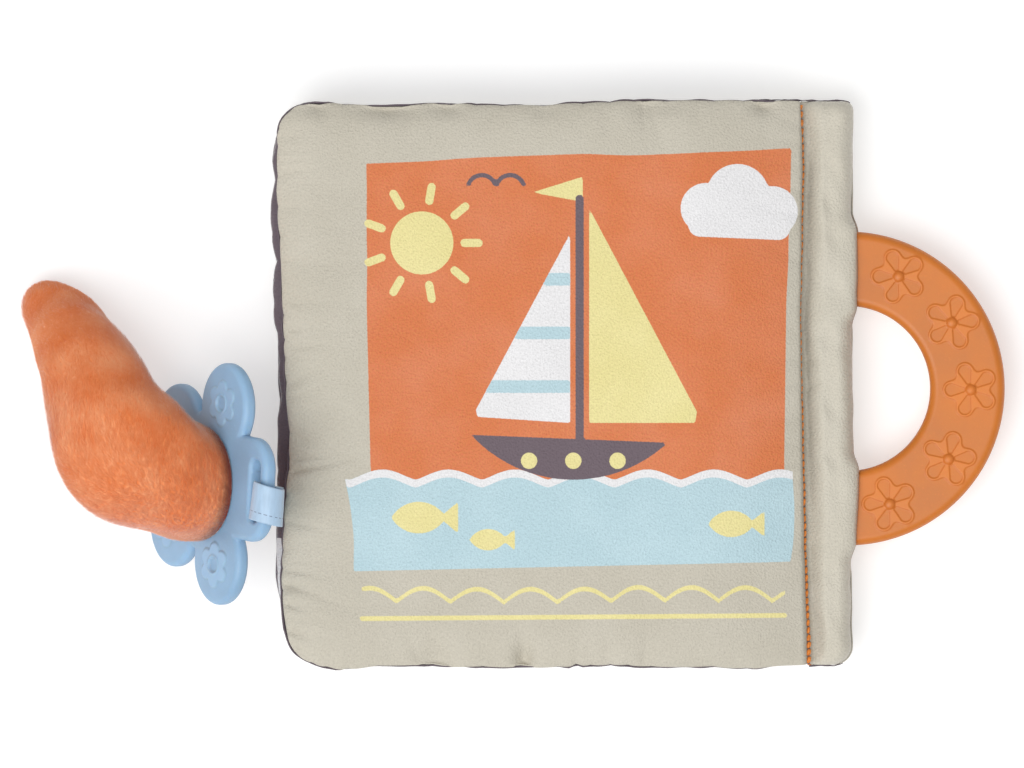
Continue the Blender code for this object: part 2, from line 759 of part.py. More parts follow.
def ribbon_mesh(name, foot, skew):
    """The looped ribbon as a flat outline with an eye, as wide as the ribbon and skewed to its foot."""
    curve = bpy.data.curves.new(name, "CURVE")
    curve.dimensions = "2D"
    curve.fill_mode = "BOTH"
    curve.extrude = RIBBON_WIDTH / 2
    for points in ribbon_outline(foot):
        spline = curve.splines.new("POLY")
        spline.points.add(len(points) - 1)
        for point, target in zip(spline.points, points):
            point.co = (target.x, target.y, 0, 1)
        spline.use_cyclic_u = True
    guide = bpy.data.objects.new(name, curve)
    bpy.context.scene.collection.objects.link(guide)
    depsgraph = bpy.context.evaluated_depsgraph_get()
    mesh = bpy.data.meshes.new_from_object(guide.evaluated_get(depsgraph))
    bpy.data.objects.remove(guide)
    bm = bmesh.new()
    bm.from_mesh(mesh)
    bmesh.ops.remove_doubles(bm, verts=bm.verts, dist=MERGE_DISTANCE)
    direction = foot.normalized()
    straight = foot.length - RIBBON_LOOP - RIBBON_THICKNESS
    for vert in bm.verts:
        along = max(vert.co.xy.dot(direction) - foot.length + straight, 0) / straight
        vert.co = Vector((vert.co.x, vert.co.z + skew * along, vert.co.y))
    return mesh_from(name, bm)


def build_ribbon(group, pivot, turn, bar, materials):
    """The ribbon, from the fore edge seam to its loop round the teether's bar."""
    eye = bar - turn.to_3x3() @ Vector((0, RIBBON_SLIDE, 0))
    foot = turn.to_3x3().inverted() @ (Vector((0, 0, -SEAM_HALF)) - eye)
    flat = Vector((foot.x, foot.z))
    mesh = ribbon_mesh("ribbon_loop", flat, foot.y)
    piece = make_object("ribbon_loop", mesh, group, pivot, materials["ribbon"])
    piece.matrix_basis = Matrix.Translation(eye) @ turn


def pod_stations(shrink):
    """Middles and radii along the pod, from its seat to its tip, drawn in by shrink."""
    seat = PLATE_HALF + CLEARANCE
    shift = POD_REACH * POD_SEAT_SHIFT_SHARE
    stations = [(Vector((0, shift, seat)), POD_RADIUS * POD_SEAT_SHARE - shrink)]
    for loopward, sideways, outwards, radius in POD_AXIS_SHARES:
        middle = POD_REACH * Vector((loopward, sideways, outwards))
        stations.append((middle, POD_RADIUS * radius - shrink))
    return stations


def swell_heel(point):
    """Push a point of the pod outwards near the heel of its bend."""
    away = (point - Vector(POD_HEEL)).length / POD_HEEL_SPREAD
    return point + math.exp(-(away**2) / 2) * Vector(POD_HEEL_RISE)


def ring_about(middle, direction, radius, count):
    """A round ring of points square to a direction."""
    across = Vector((1, 0, 0))
    across = (across - across.dot(direction) * direction).normalized()
    up = direction.cross(across)
    ring = []
    for i in range(count):
        angle = math.tau * i / count
        point = middle + radius * (math.cos(angle) * across + math.sin(angle) * up)
        ring.append(swell_heel(point))
    return ring


def smooth_between(before, start, end, after, share):
    """A point of the smooth curve from start to end that looks to both neighbours."""
    entry, leave = (end - before) / 2, (after - start) / 2
    square, cube = share**2, share**3
    start_weight = 2 * cube - 3 * square + 1
    entry_weight = cube - 2 * square + share
    return start_weight * start + entry_weight * entry + (1 - start_weight) * end + (cube - square) * leave


def pod_path(shrink):
    """Middles and radii at even steps along the smooth curve through the pod's stations."""
    stations = pod_stations(shrink)
    places = [Vector((*middle, radius)) for middle, radius in stations]
    last = len(places) - 1
    path = []
    for i in range(last):
        around = (places[max(i - 1, 0)], places[i], places[i + 1], places[min(i + 2, last)])
        path += [smooth_between(*around, step / POD_STEPS) for step in range(POD_STEPS)]
    path.append(places[last])
    return [(place.xyz, place.w) for place in path]


def pod_rings(shrink, first):
    """Rings along the bent pod and over its round tip."""
    path = pod_path(shrink)
    tipward = (path[-1][0] - path[-2][0]).normalized()
    rings = []
    for i, (middle, radius) in enumerate(path):
        direction = Vector((0, 0, 1)).slerp(tipward, smooth_step(i / POD_STEPS / POD_LEAN_STATIONS))
        rings.append(ring_about(middle, direction, radius, POD_SIDES))
    for step in range(1, POD_TIP_RINGS + 1):
        angle = math.pi / 2 * step / (POD_TIP_RINGS + 1)
        ahead = middle + direction * radius * math.sin(angle)
        rings.append(ring_about(ahead, direction, radius * math.cos(angle), POD_SIDES))
    return rings[first:]


def build_pod(group, axis, materials):
    """The plush skin, its stuffing and the button stem that holds it in the flower."""
    rings = pod_rings(0, 0)
    seat = rings[0][0].z
    mouth = ring_about(Vector((0, 0, seat)), Vector((0, 0, 1)), POD_MOUTH, POD_SIDES)
    mesh = loft_mesh("pod_skin", [mouth] + rings, open_start=True)
    skin = make_object("pod_skin", mesh, group, axis, materials["plush"])
    add_solidify(skin, POD_PLUSH, even=False)
    stuffing_rings = pod_rings(POD_PLUSH + POD_STUFFING_GAP, 2 * POD_STEPS)[::2]
    make_object("pod_stuffing", loft_mesh("pod_stuffing", stuffing_rings), group, axis, materials["wadding"])
    build_stem(group, axis, materials)


def build_stem(group, axis, materials):
    """The turned stem: a plug in the pod's mouth, a neck in the flower's hole and a button behind."""
    plug = POD_MOUTH - POD_PLUSH / 2
    neck = PLATE_HOLE - 2 * CLEARANCE
    front = PLATE_HALF
    back = -PLATE_HALF - CLEARANCE
    end = back - BUTTON_THICKNESS
    profile = [
        (0, front + STEM_PLUG),
        (plug, front + STEM_PLUG),
        (plug, front),
        (neck, front),
        (neck, back),
        (BUTTON_RADIUS - BUTTON_ROUND, back),
        (BUTTON_RADIUS, back - BUTTON_ROUND),
        (BUTTON_RADIUS, end + BUTTON_ROUND),
        (BUTTON_RADIUS - BUTTON_ROUND, end),
        (0, end),
    ]
    mesh = bpy.data.meshes.new("pod_stem")
    edges = [(i, i + 1) for i in range(len(profile) - 1)]
    mesh.from_pydata([(x, 0, z) for x, z in profile], edges, [])
    stem = make_object("pod_stem", mesh, group, axis, materials["plush"])
    screw = stem.modifiers.new("turn", "SCREW")
    screw.steps = STEM_SIDES
    screw.render_steps = STEM_SIDES
    screw.use_merge_vertices = True
    screw.merge_threshold = MERGE_DISTANCE


def make_materials():
    """The finishes of the real pieces."""
    return {
        "beige": make_material("beige_cotton", BEIGE, 0.9, 0.2),
        "plum": make_material("plum_cotton", PLUM, 0.9, 0.2),
        "wadding": make_material("white_wadding", WADDING, 1),
        "thread": make_material("orange_thread", ORANGE_THREAD, 0.7),
        "handle": make_material("orange_silicone", ORANGE_SILICONE, 0.45),
        "plate": make_material("blue_silicone", BLUE_SILICONE, 0.5),
        "ribbon": make_material("pale_satin", PALE_SATIN, 0.4),
        "plush": make_material("orange_plush", ORANGE_PLUSH, 1, 0.6),
    }


def teether_turn():
    """The flower's frame: X to its loop, Y along the loop's bar and Z out of its front."""
    outwards = Vector((-math.sin(TEETHER_TILT), 0, math.cos(TEETHER_TILT)))
    loopwards = Vector((math.cos(TEETHER_TILT), 0, math.sin(TEETHER_TILT)))
    sideways = outwards.cross(loopwards)
    frame = Matrix((loopwards, sideways, outwards)).transposed().to_4x4()
    return frame @ Matrix.Rotation(TEETHER_SPIN, 4, "Z")


def seam_edge(leaf, place):
    """The fore edge of a leaf at a place along Y, from its hinge."""
    return leaf_point(leaf, leaf["reach"], place, 1, 0).x


def main():
    """Build the whole book."""
    clear_scene()
    group = new_collection("baby_toy_book")
    cutters = new_collection("guides")
    materials = make_materials()
    pivots = {}
    for leaf in leaf_table():
        pivots[leaf["name"]] = make_empty(leaf["name"] + "_hinge", group, leaf["hinge"])
        build_leaf(leaf, group, pivots[leaf["name"]], materials)
    front_leaf = leaf_table()[-1]

    spine = make_empty("spine_centre", group, (HINGE_X, 0, SPINE_Z))
    handle_seat = make_empty("handle_centre", group, (HANDLE_X - HINGE_X, -HANDLE_DROP, 0), spine)
    build_spine(group, cutters, spine, handle_seat, materials)
    build_stitching(group, spine, materials)
    build_handle(group, cutters, handle_seat, materials)

    hinge_x = seam_edge(front_leaf, RIBBON_Y) - RIBBON_FOOT
    seam = make_empty("ribbon_hinge", group, (hinge_x, RIBBON_Y, front_leaf["rise"]), pivots["front_cover"])
    turn = teether_turn()
    bar = Vector(BAR_FROM_SEAM)
    build_ribbon(group, seam, turn, bar, materials)
    teether = make_empty("teether_hinge", group, bar, seam, turn)
    hub = make_empty("pod_axis", group, (-BAR_MIDDLE, 0, 0), teether)
    build_plate(group, cutters, hub, materials)
    build_pod(group, hub, materials)
    bpy.context.view_layer.update()


main()
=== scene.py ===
"""Looks of a soft cloth baby book with a ring handle, a flower teether and a plush pod.

Lengths are in metres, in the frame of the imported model: +X from the fore edge to the spine,
+Y to the head of the book, +Z up. The printed designs alone are in millimetres.
"""

import json
import math
from types import SimpleNamespace

import bmesh
import bpy
import numpy as np
from mathutils import Matrix, Vector

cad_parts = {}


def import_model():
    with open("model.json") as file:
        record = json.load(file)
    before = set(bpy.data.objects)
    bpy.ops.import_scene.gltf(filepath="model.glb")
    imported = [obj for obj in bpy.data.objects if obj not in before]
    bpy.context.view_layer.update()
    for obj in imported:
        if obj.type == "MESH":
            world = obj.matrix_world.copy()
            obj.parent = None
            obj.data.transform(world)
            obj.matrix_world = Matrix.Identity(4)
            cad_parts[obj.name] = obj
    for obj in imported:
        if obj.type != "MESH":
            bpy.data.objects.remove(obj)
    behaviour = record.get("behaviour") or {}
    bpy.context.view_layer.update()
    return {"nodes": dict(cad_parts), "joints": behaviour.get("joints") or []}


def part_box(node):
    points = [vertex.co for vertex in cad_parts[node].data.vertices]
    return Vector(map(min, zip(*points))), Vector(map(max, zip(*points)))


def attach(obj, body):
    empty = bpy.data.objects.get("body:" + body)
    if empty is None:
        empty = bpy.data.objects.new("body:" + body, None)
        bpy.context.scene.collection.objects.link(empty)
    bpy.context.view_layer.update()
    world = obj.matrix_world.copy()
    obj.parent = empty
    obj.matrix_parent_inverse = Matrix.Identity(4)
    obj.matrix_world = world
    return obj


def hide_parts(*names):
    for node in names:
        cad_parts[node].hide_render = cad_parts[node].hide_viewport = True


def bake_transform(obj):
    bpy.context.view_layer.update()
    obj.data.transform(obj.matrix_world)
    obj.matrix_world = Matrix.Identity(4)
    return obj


# Picture: what a pixel of the photograph measures, and the pixel over the model's origin
PIXEL = 0.0003169
ORIGIN_PIXEL = (567, 385)
PICTURE = (1024, 768)
LENS = 1200
SENSOR = 36
CLIP = (0.1, 40)
FOCUS_LEVEL = 0.030

# Light and floor: each lamp's name, place, size and power
LAMPS = (("key_light", (-1.05, -1.0, 3.05), 2.4, 76), ("top_light", (0.2, -0.2, 2.2), 1.6, 10))
WORLD_STRENGTH = 0.44
WHITE = (1, 1, 1, 1)
FLOOR_HALF = 3
FLOOR_GREYS = ((0.66, 0.66, 0.66, 1), (0.68, 0.68, 0.68, 1))
FLOOR_SPECKLE = 0.01
FLOOR_GLOW = 0.43
FLOOR_ROUGHNESS = 0.9

# Leaves
LEAF_THICKNESS = 0.008
CORNER_RADIUS = 0.011
EDGE_REACH = 0.014
EDGE_ROUND = 2.3
NECK_REACH = 0.036
NECK_BEND = 0.9
GUTTER_REACH = 0.0023
PILLOW_SHARE = 0.3
PILLOW_START = 0.0006
PILLOW_REACH = 0.0010
PILLOW_STEPS = 9
END_DRAW_IN = 0.0005
COVER_CROWN = 0.0012
SEAM_LAYER = 0.0006
CLOTH = 0.0004
TABLE_GAP = 0.0002
TAB_OVERLAP = 0.001
INNER_SINK = 0.7
FINE_STEP = 0.0008
COARSE_STEP = 0.0015
FEWEST_STEPS = (8, 4)

# Seams of the leaves: round hills between creases, and how far they wave
HILL_SLANT = (0.7, 3)
HILL_DRIFT = (0.9, 2.2, 7)
HILL_ROUND = 0.65
SEAM_HILL = 0.0105
HILL_SHARE = 0.55
FORE_WAVE = 0.0008
FORE_WAVE_MIDDLE = 0.3
FORE_DRIFT = 0.0003
FORE_DRIFT_REACH = 0.02
END_WAVE = 0.0007
END_WAVE_MIDDLE = 0.38
END_WAVE_START = 0.02
WAVE_FADE = 0.006

# Linings stand a little proud of the covers: furthest at two corners, from a place along Y on
LINING_REACH = 0.00035
LINING_WAVE = 0.006
LINING_CORNERS = ((-1, 0.062, 0.006), (1, 0.078, 0.004))
LINING_CORNER_SHARE = 1.2
LINING_END_SHARE = 0.7

# Puckers at the seams: spacing, reach into the cloth and depth, and the wide ones as shares of these
PUCKER = (0.0125, 0.0085, 0.0011)
SMALL_PUCKER = (0.0052, 0.006, 0.0009)
GUTTER_PUCKER = (0.008, 0.010, 0.0007)
PUCKER_STRENGTH = 1.5
PUCKER_PATCH = 0.024
PUCKER_FADE = 1.5
WIDE_PUCKER = (2.7, 2.6, 0.7)
SINK_START = 0.004

# Folds of the stuffed cloth: width along X and Y, slants between them and depth
SOFT_FOLDS = ((0.034, 0.041, 0, 0, 0.00045), (0.013, 0.019, 0.3, 0.4, 0.00022))
SOFT_FOLDS += ((0.0045, 0.006, 0, 0, 0.00006),)
SOFT_FOLD_START = 0.03

# Fore edges: places along Y, then how far the seam lies in from its furthest reach
COVER_FORE = (
    (-0.0808, -0.0745, -0.065, -0.0555, -0.0428, -0.0333, -0.0238, -0.0143, -0.0016)
    + (0.0111, 0.0238, 0.0364, 0.0491, 0.0618, 0.0808),
    (0.0022, 0.0013, 0.0005, 0.0008, 0.0011, 0.0019, 0.0029, 0.0027, 0.0022)
    + (0.0016, 0.001, 0.0003, -0.0004, -0.0008, -0.0006),
)
PAGE_FORE = (
    (-0.0808, -0.0745, -0.0681, -0.0618, -0.0555, -0.040, -0.0206, -0.0111, -0.0048, 0.0048, 0.0143)
    + (0.0206, 0.0269, 0.0333, 0.0396, 0.046, 0.0523, 0.0586, 0.065, 0.0713, 0.0776, 0.084),
    (0.0031, 0.0024, 0.0014, 0.0004, 0.0004, 0.0008, 0.0007, 0.0005, 0.0015, 0.0008, 0.0011)
    + (-0.0001, -0.0004, -0.0008, 0.0002, -0.0011, -0.0014, -0.0011, -0.0001, -0.0008, 0, 0.0015),
)

# Head and tail: places along X, then how far the seam lies in from its furthest reach
HEAD = (
    (-0.0878, -0.083, -0.0735, -0.069, -0.064, -0.050, -0.045, -0.0355, -0.026, -0.007, 0.0025)
    + (0.012, 0.0168, 0.0213, 0.074),
    (0, 0.0005, 0.0006, 0.0009, 0.0012, 0.0012, 0.0006, 0.0006, 0.0012, 0.0012, 0.0006)
    + (0.0003, 0, -0.0002, -0.0003),
)
TAIL = (
    (-0.083, -0.0783, -0.0735, -0.0688, -0.064, -0.0592, -0.0498, -0.0402, -0.007, 0.0003, 0.0025)
    + (0.0048, 0.012, 0.0168, 0.0263, 0.0454, 0.0548, 0.0596, 0.0643, 0.0691, 0.0786),
    (0.0013, 0.0006, -0.0003, 0, 0.0006, 0.0009, 0.0012, 0.0006, 0.0004, 0.0006, 0.0017)
    + (0.0009, 0.0012, 0.0012, 0.0006, 0.0006, 0.0001, 0, 0.0006, 0.0009, 0.0012),
)

# Dips of the front cover's stuffing: the end, how far in they reach, then X, width and depth
HEAD_DIPS = ((-0.079, 0.004, 0.0032), (-0.057, 0.009, 0.0038), (-0.038, 0.006, 0.0032))
HEAD_DIPS += ((-0.006, 0.006, 0.0016), (0.030, 0.008, 0.0016), (0.062, 0.004, 0.0034))
TAIL_DIPS = ((-0.0425, 0.0065, 0.0036), (-0.0142, 0.0034, 0.0052))
DIPS = ((1, 0.0033, HEAD_DIPS), (-1, 0.0075, TAIL_DIPS))

# Creases that run into the front cover from its fore edge: Y, rise, length and depth
FORE_CREASES = ((-0.0243, 0.12, 0.012, 0.0016), (-0.0285, 0.25, 0.014, 0.0018))
FORE_CREASES += ((-0.0440, -0.2, 0.010, 0.0010), (0.0120, 0.10, 0.008, 0.0010))
FORE_CREASES += ((0.0400, -0.1, 0.007, 0.0010), (-0.0600, -0.1, 0.008, 0.0011))
CREASE_HALF = 0.0011

# Spine strip: its section in shares of its width, and its height over the middle of the spine
STITCH_RISE = 0.0061
STITCH_SINK = 0.0013
STRIP_RISE = 0.0088
STRIP_CREST = (0.97, 0.05, 0.03)
STRIP_WALL_SHARE = 0.36
STRIP_WALL_START = 0.2
STRIP_TOP_SHARE = 0.66
STRIP_SIDE_ROUND = 2.2
STRIP_STEPS = (26, 14, 14)
STRIP_START = 0.0003
STRIP_EDGE_X = 0.0907
STRIP_SEAM = 0.0003
STRIP_END = 0.006
STRIP_END_ROUND = 2.4
STRIP_TAIL_DRAW = 0.0012
STRIP_CORNERS = (0.003, 0.006)
STRIP_WANDER = ((0.0006, 0.028), (0.0002, 0.007))
VALLEY_MIDDLE = 0.0013
VALLEY_HALF = 0.0015
VALLEY_DEPTH = 0.0016
VALLEY_SHALLOW = 0.3
VALLEY_SPAN = ((0.042, 0.014), (0.078, 0.012))
CLOSED_SHARE = 0.6
CLOSED_REACH = 0.16
BARE_REACH = 0.12
LEG_BULGE = 0.0015
LEG_BLEND = 0.006
LEG_HALF = 0.0048

# Folds of the strip: sizes across and along, slant and depth
STRIP_WIDTH = 0.016
LONG_FOLD = (0.0045, 0.06, 0.021, 0.0006)
SLANTED_FOLD = (0.0055, 0.013, 0.6, 0.0006)
STRIP_CREASE = (0.009, 0.02, 0.0012, 3.5)

# Seam allowance at the strip's ends: which end, and where it starts and stops along X
TAPES = ((1, 0.0575, 0.0898), (-1, 0.0768, 0.0875))
TAPE_REACH = 0.0005
TAPE_RADIUS = 0.0004
TAPE_FLATTEN = 1.6
TAPE_STEPS = (120, 9)
TAPE_WAVES = ((1, 0.0035), (0.6, 0.0013))
TAPE_SWAY = (0.5, 0.35)
TAPE_SWELL = (0.8, 0.5, 0.0025)
TAPE_LIFT = 0.5
TAPE_LIFT_REACH = 0.004

# Page tabs
TAB_SQUASH = 0.68
TAB_STEPS = (120, 40)
TAB_FOLD = (0.14, 8)
TAB_WAVE = (0.05, 0.006)

# Stitches
STITCH_LENGTH = 0.0024
STITCH_STEP = 0.00016
STITCH_SIDES = 12
STITCH_RADIUS = 0.00052
STITCH_WAIST = (0.42, 0.58, 0.55)
STITCH_SLANT = 0.00036
STITCH_ARCH = 0.00025
STITCH_LIFT = 0.0003
STITCH_DRIFT = (0.25, 0.011)
STITCH_SIZES = (0.12, 1.7)
STITCH_GAP = (0.45, 0.5)
ROW_END = 0.0012
TACK_LENGTH = 0.010
TACK_SWELL = 1.45
TACK_BLEND = 0.0025
ROW = (
    (-0.0885, -0.080, -0.055, -0.015, 0.020, 0.045, 0.070, 0.0885),
    (0.0768, 0.0766, 0.0756, 0.0746, 0.0738, 0.0743, 0.0749, 0.0739),
)
ROW_WANDER = (0.0001, 0.004)

# Handle, with the angles and turns of its five flowers in degrees
HANDLE_INNER = 0.0261
HANDLE_HALF = 0.004
HANDLE_ROUND = 0.0026
HANDLE_ROUND_STEPS = 8
HANDLE_STEPS = 640
HANDLE_TOP_STEPS = 96
HANDLE_LOW_STEPS = 14
BAR_WIDTH = 0.008
BAR_CORNER = 0.005
BLOSSOM_REACH = 0.039
BLOSSOM_ANGLES = (65.6, 32.3, -0.6, -35.1, -70.1)
BLOSSOM_TURNS = (180, 5, 180, 5, 180)
BLOSSOM_RADIUS = 0.0089
BLOSSOM_PETAL_SHARE = 0.311
BLOSSOM_WEB_SHARE = 0.66
BLOSSOM_RIM = 0.00075
BLOSSOM_RELIEF = 0.00022
BLOSSOM_FLANK = 0.00045
BLOSSOM_FILLET = 0.0017
BLOSSOM_LEVEL = 0.0006
DROP_START = 0.0026
DROP_TIP = 0.0008
DOME_RADIUS = 0.0021
DOME_RELIEF = 0.0003
BEAD_RADIUS = 0.0017
BEAD_RELIEF = 0.0006
# Slope at which the relief's painted shade is full, and below which its painted highlight shows
GROOVE_SLOPE = 0.0001
CREST_SLOPE = GROOVE_SLOPE / 3

# Flower teether
PLATE_HALF = 0.0028
PLATE_ROUND = 0.0019
PLATE_CROWN = 0.0005
PLATE_CROWN_REACH = 0.007
PLATE_HUB = 0.023
PLATE_HOLE = 0.013
PLATE_HOLE_ROUND = (0.2, 0.0012)
PLATE_STEPS = (76, 600)
PLATE_CROWDING = 1.35
NOTCH = 0.0006
NOTCH_LIMIT = 60
PETAL_CENTRE = 0.0257
PETAL_RADIUS = 0.014
PETALS = 5
LOOP_REACH = 0.0364
LOOP_HALF_HEIGHT = 0.0165
LOOP_CORNER = 0.010
LOOP_BAR = 0.0036
SLOT_WIDTH = 0.0052
SLOT_LENGTH = 0.0196
SLOT_ROUND = 0.0014
SLOT_STEPS = 24
SLOT_MIDDLE = LOOP_REACH - LOOP_BAR - SLOT_WIDTH / 2
SLOT_RUN = (SLOT_LENGTH - SLOT_WIDTH) / 2
DAISY_REACH = 0.027
DAISY_RADIUS = 0.0072
DAISY_STRETCH = 1.12
DAISY_LOBES = 6
DAISY_LOBE_SHARE = 0.34
DAISY_BODY_SHARE = 0.76
DAISY_RELIEF = 0.00045
DAISY_FLANK = 0.0005
DAISY_RING = 0.0027
DAISY_RING_WIDTH = 0.0008
DAISY_RING_RELIEF = 0.0004
DAISY_WELL = 0.0005
# Strength of the daisies' painted highlight and painted shade
DAISY_PAINTED_HIGHLIGHT = 1.4
DAISY_PAINTED_SHADE = 0.6
TEETHER_TILT = math.radians(59)
TEETHER_SPIN = math.radians(-5.5)

# Ribbon
RIBBON_WIDTH = 0.012
RIBBON_LAYER = 0.00036
RIBBON_GAP_SHARE = 0.62
RIBBON_LOOP = 0.0049
RIBBON_LOOP_GAP = math.radians(14)
RIBBON_TAIL_START = 0.2
RIBBON_STEPS = (26, 130, 33)
RIBBON_SLIDE = 0.0026
RIBBON_SLANT = 0.22
RIBBON_DROP = 0.07
RIBBON_LEAN = 0.13
RIBBON_WAVE = (0.00018, 0.006, 3)
RIBBON_EDGE = (0.35, 0.47, 0.03)
RIBBON_HEM = 0.0028
HEM_STEPS = (0.03, 7)
HEM_HALF = 0.012
HEM_PITCH = 0.0017
HEM_DASH = 0.0010

# Pod
POD_RADIUS = 0.0223
POD_REACH = 0.058
POD_SEAT_GAP = 0.0003
POD_SEAT_SHARE = 0.79
POD_SEAT_SHIFT_SHARE = -0.010
POD_LEAN_STATIONS = 6.5
POD_STEPS = 12
POD_SIDES = 120
POD_TIP_RINGS = 18
POD_TIP_RADIUS = 1e-5
POD_BASE_SHARES = (0.25, 0.55, 0.8, 0.93)
POD_AXIS_SHARES = (  # towards the loop, sideways and outwards as shares of the reach, and the radius
    (-0.016, 0.016, 0.182, 0.868),
    (-0.028, 0.096, 0.321, 0.940),
    (-0.069, 0.174, 0.483, 0.970),
    (-0.223, 0.352, 0.552, 0.882),
    (-0.363, 0.503, 0.576, 0.776),
    (-0.507, 0.643, 0.574, 0.642),
    (-0.676, 0.766, 0.565, 0.541),
    (-0.891, 0.872, 0.560, 0.383),
)
POD_RELAX = 30
POD_RELAX_RINGS = (20, 6, 10)
POD_HEEL = np.array((-0.0105, 0.0006, 0.0389))
POD_HEEL_RISE = np.array((-0.0024, -0.0031, 0.0045))
POD_HEEL_SPREAD = 0.013
POD_LUMP = 0.0007
POD_LUMP_SIZE = (0.012, 0.013, 0.017)
POD_LUMP_ENDS = (0.15, 0.05)

# Pile of the plush: strands of five points, with the tone of each
PILE_COUNT = 62000
PILE_LENGTH = 0.0021
PILE_LENGTHS = (0.6, 1.15)
PILE_WIDTH = 0.00012
PILE_START = 0.0004
PILE_SWIRL = 0.13
PILE_MIDDLE = (0.24, 0.40, 0.8)
PILE_TIP = (0.32, 0.92)
PILE_TONES = np.array([0.3, 0.3, 0.55, 0.55, 0.95])
PILE_TONE_SPREAD = (0.85, 1.1)
# Painted shade: the pile's tips are made darker close to the flower
PILE_PAINTED_SHADE_TONE = 0.1
PILE_PAINTED_SHADE_REACH = 0.009
NAP_ALONG = np.array((0.7, 0.7, 0.3))
NAP_ACROSS = np.array((-0.25, 0.45, 0))
NAP_SWING = 0.65
NAP_PATCH = (0.016, 0.018, 0.02)
# Painted shade where the plush meets the flower, on the loop's side
SEAT_SHADE_REACH = 0.0058
SEAT_SHADE_START = -0.002
SEAT_SHADE_BLEND = 0.012
TINY = 1e-9

# Stem and button
BUTTON_RADIUS = 0.017
BUTTON_THICKNESS = 0.0042
BUTTON_GAP = 0.0003
BUTTON_RIM = 0.0016
BUTTON_RIM_STEPS = 7
BUTTON_DISH = 0.0008
BUTTON_SHARES = (0.8, 0.6, 0.4, 0.2, 0.006)
PLUG_RADIUS = 0.009
PLUG_RISE = 0.0028
PLUG_TIP = 0.0001
NECK_GAP = 0.0006
STEM_SIDES = 72

# Colours as they look, 0 to 255
BEIGE = (191, 185, 170)
# A lighter copy of the beige, with the strip's sheen painted in
BEIGE_PAINTED_SHEEN = (199, 193, 178)
PLUM = (98, 86, 94)
PRINT_ORANGE = (211, 119, 70)
PRINT_YELLOW = (225, 214, 148)
PRINT_BLUE = (178, 205, 213)
PRINT_WHITE = (226, 225, 226)
PRINT_PLUM = (104, 90, 98)
HANDLE_ORANGE = (203, 115, 34)
TEETHER_BLUE = (140, 175, 206)
SATIN_BLUE = (170, 197, 222)
HEM_GREY = (120, 136, 160)
PLUSH_ORANGE = (234, 139, 76)
PLUSH_LIGHT = (242, 180, 136)
PLUSH_DARK = (218, 108, 48)
# Colour of the painted shade where the plush meets the flower
PLUSH_SEAT_PAINTED_SHADE = (112, 20, 0)
THREAD_ORANGE = (232, 132, 38)
SEWN_DARK = (74, 54, 58)

# Cotton: sizes of its pattern, and spans that its noises are taken from and to
PEBBLE = 0.00068
PEBBLE_BUMP = (0.0005, 0.85)
PEBBLE_SHARE = 0.55
THREAD = 0.00045
THREAD_STRETCH = (1, 0.55, 1)
THREAD_BUMP = (0.00012, 0.5)
WORN_PATCH = 0.02
WORN_SPAN = (0.4, 0.7)
WORN = {"Value": 1.05, "Saturation": 0.95}
TINT = 0.0007
TINT_STRETCH = (1, 1, 1.5)
TINT_SPAN = (0.3, 0.7, 0.495, 0.505)
MOTTLE_SPAN = (0.34, 0.66, 0.91, 1.08)
INK_SPAN = (0.00024, 0.00006)
INK_RAGGED = 0.0003
COTTON = {"roughness": 0.72, "sheen_roughness": 0.4}
BEIGE_SHEEN = 0.12
PLUM_SHEEN = 0.4

# Silicone
SILICONE = {
    "subsurface_weight": 0.12,
    "subsurface_radius": (0.004, 0.002, 0.001),
    "subsurface_scale": 0.6,
    "coat_weight": 0.05,
    "coat_roughness": 0.35,
}
HANDLE_ROUGHNESS = 0.46
TEETHER_ROUGHNESS = 0.5
BLOOM = 0.02
BLOOM_SPAN = (0.35, 0.65)
BLOOM_SHADES = (0.96, 1.03)
ROUGH_SPAN = (0.3, 0.7)
ROUGH_SWING = (-0.05, 0.07)
SPECK = 0.0007
SPECK_SPAN = (0.6, 0.75, 0, 0.25)
SPECK_SHADE = 1.12
SPECK_BUMP = (0.00003, 0.5)
# Painted shade on the slopes of the moulded relief
GROOVE_PAINTED_SHADES = (0.95, 0.86, 0.74)
GROOVE_SHARE = 0.5
# Painted highlight on the flat raised tops of the relief
CREST_PAINTED_HIGHLIGHT = 1.13
CREST_SHARE = 0.3

# Satin
SATIN = {"roughness": 0.42, "sheen_weight": 0.3, "anisotropic": 0.5}
RIB_PITCH = 0.00032
RIB_DISTORTION = 0.6
RIB_DETAIL = 2
WAVE_UNIT = math.pi / 10
FLOATS = 0.0008
FLOAT_STRETCH = (1, 0.2, 1)
SATIN_SPAN = (0.2, 0.8)
SATIN_SHADES = (0.9, 1.05)
SATIN_BUMP = (0.00006, 0.6)

# Plush and thread
PLUSH = {"roughness": 0.9, "sheen_weight": 0.7, "sheen_roughness": 0.4}
NAP = 0.012
NAP_SPAN = (0.28, 0.72)
STREAK = 0.0011
STREAK_STRETCH = (1, 0.35, 1)
STREAK_SPAN = (0.3, 0.7)
STREAK_BUMP = (0.0005, 0.8)
POLYESTER = {"roughness": 0.55, "sheen_weight": 0.3}
FIBRE = 0.0003
FIBRE_STRETCH = (1, 0.3, 1)
FIBRE_SPAN = (0.3, 0.7)
FIBRE_SHADES = (0.78, 1.12)
FIBRE_BUMP = (0.0001, 0.8)

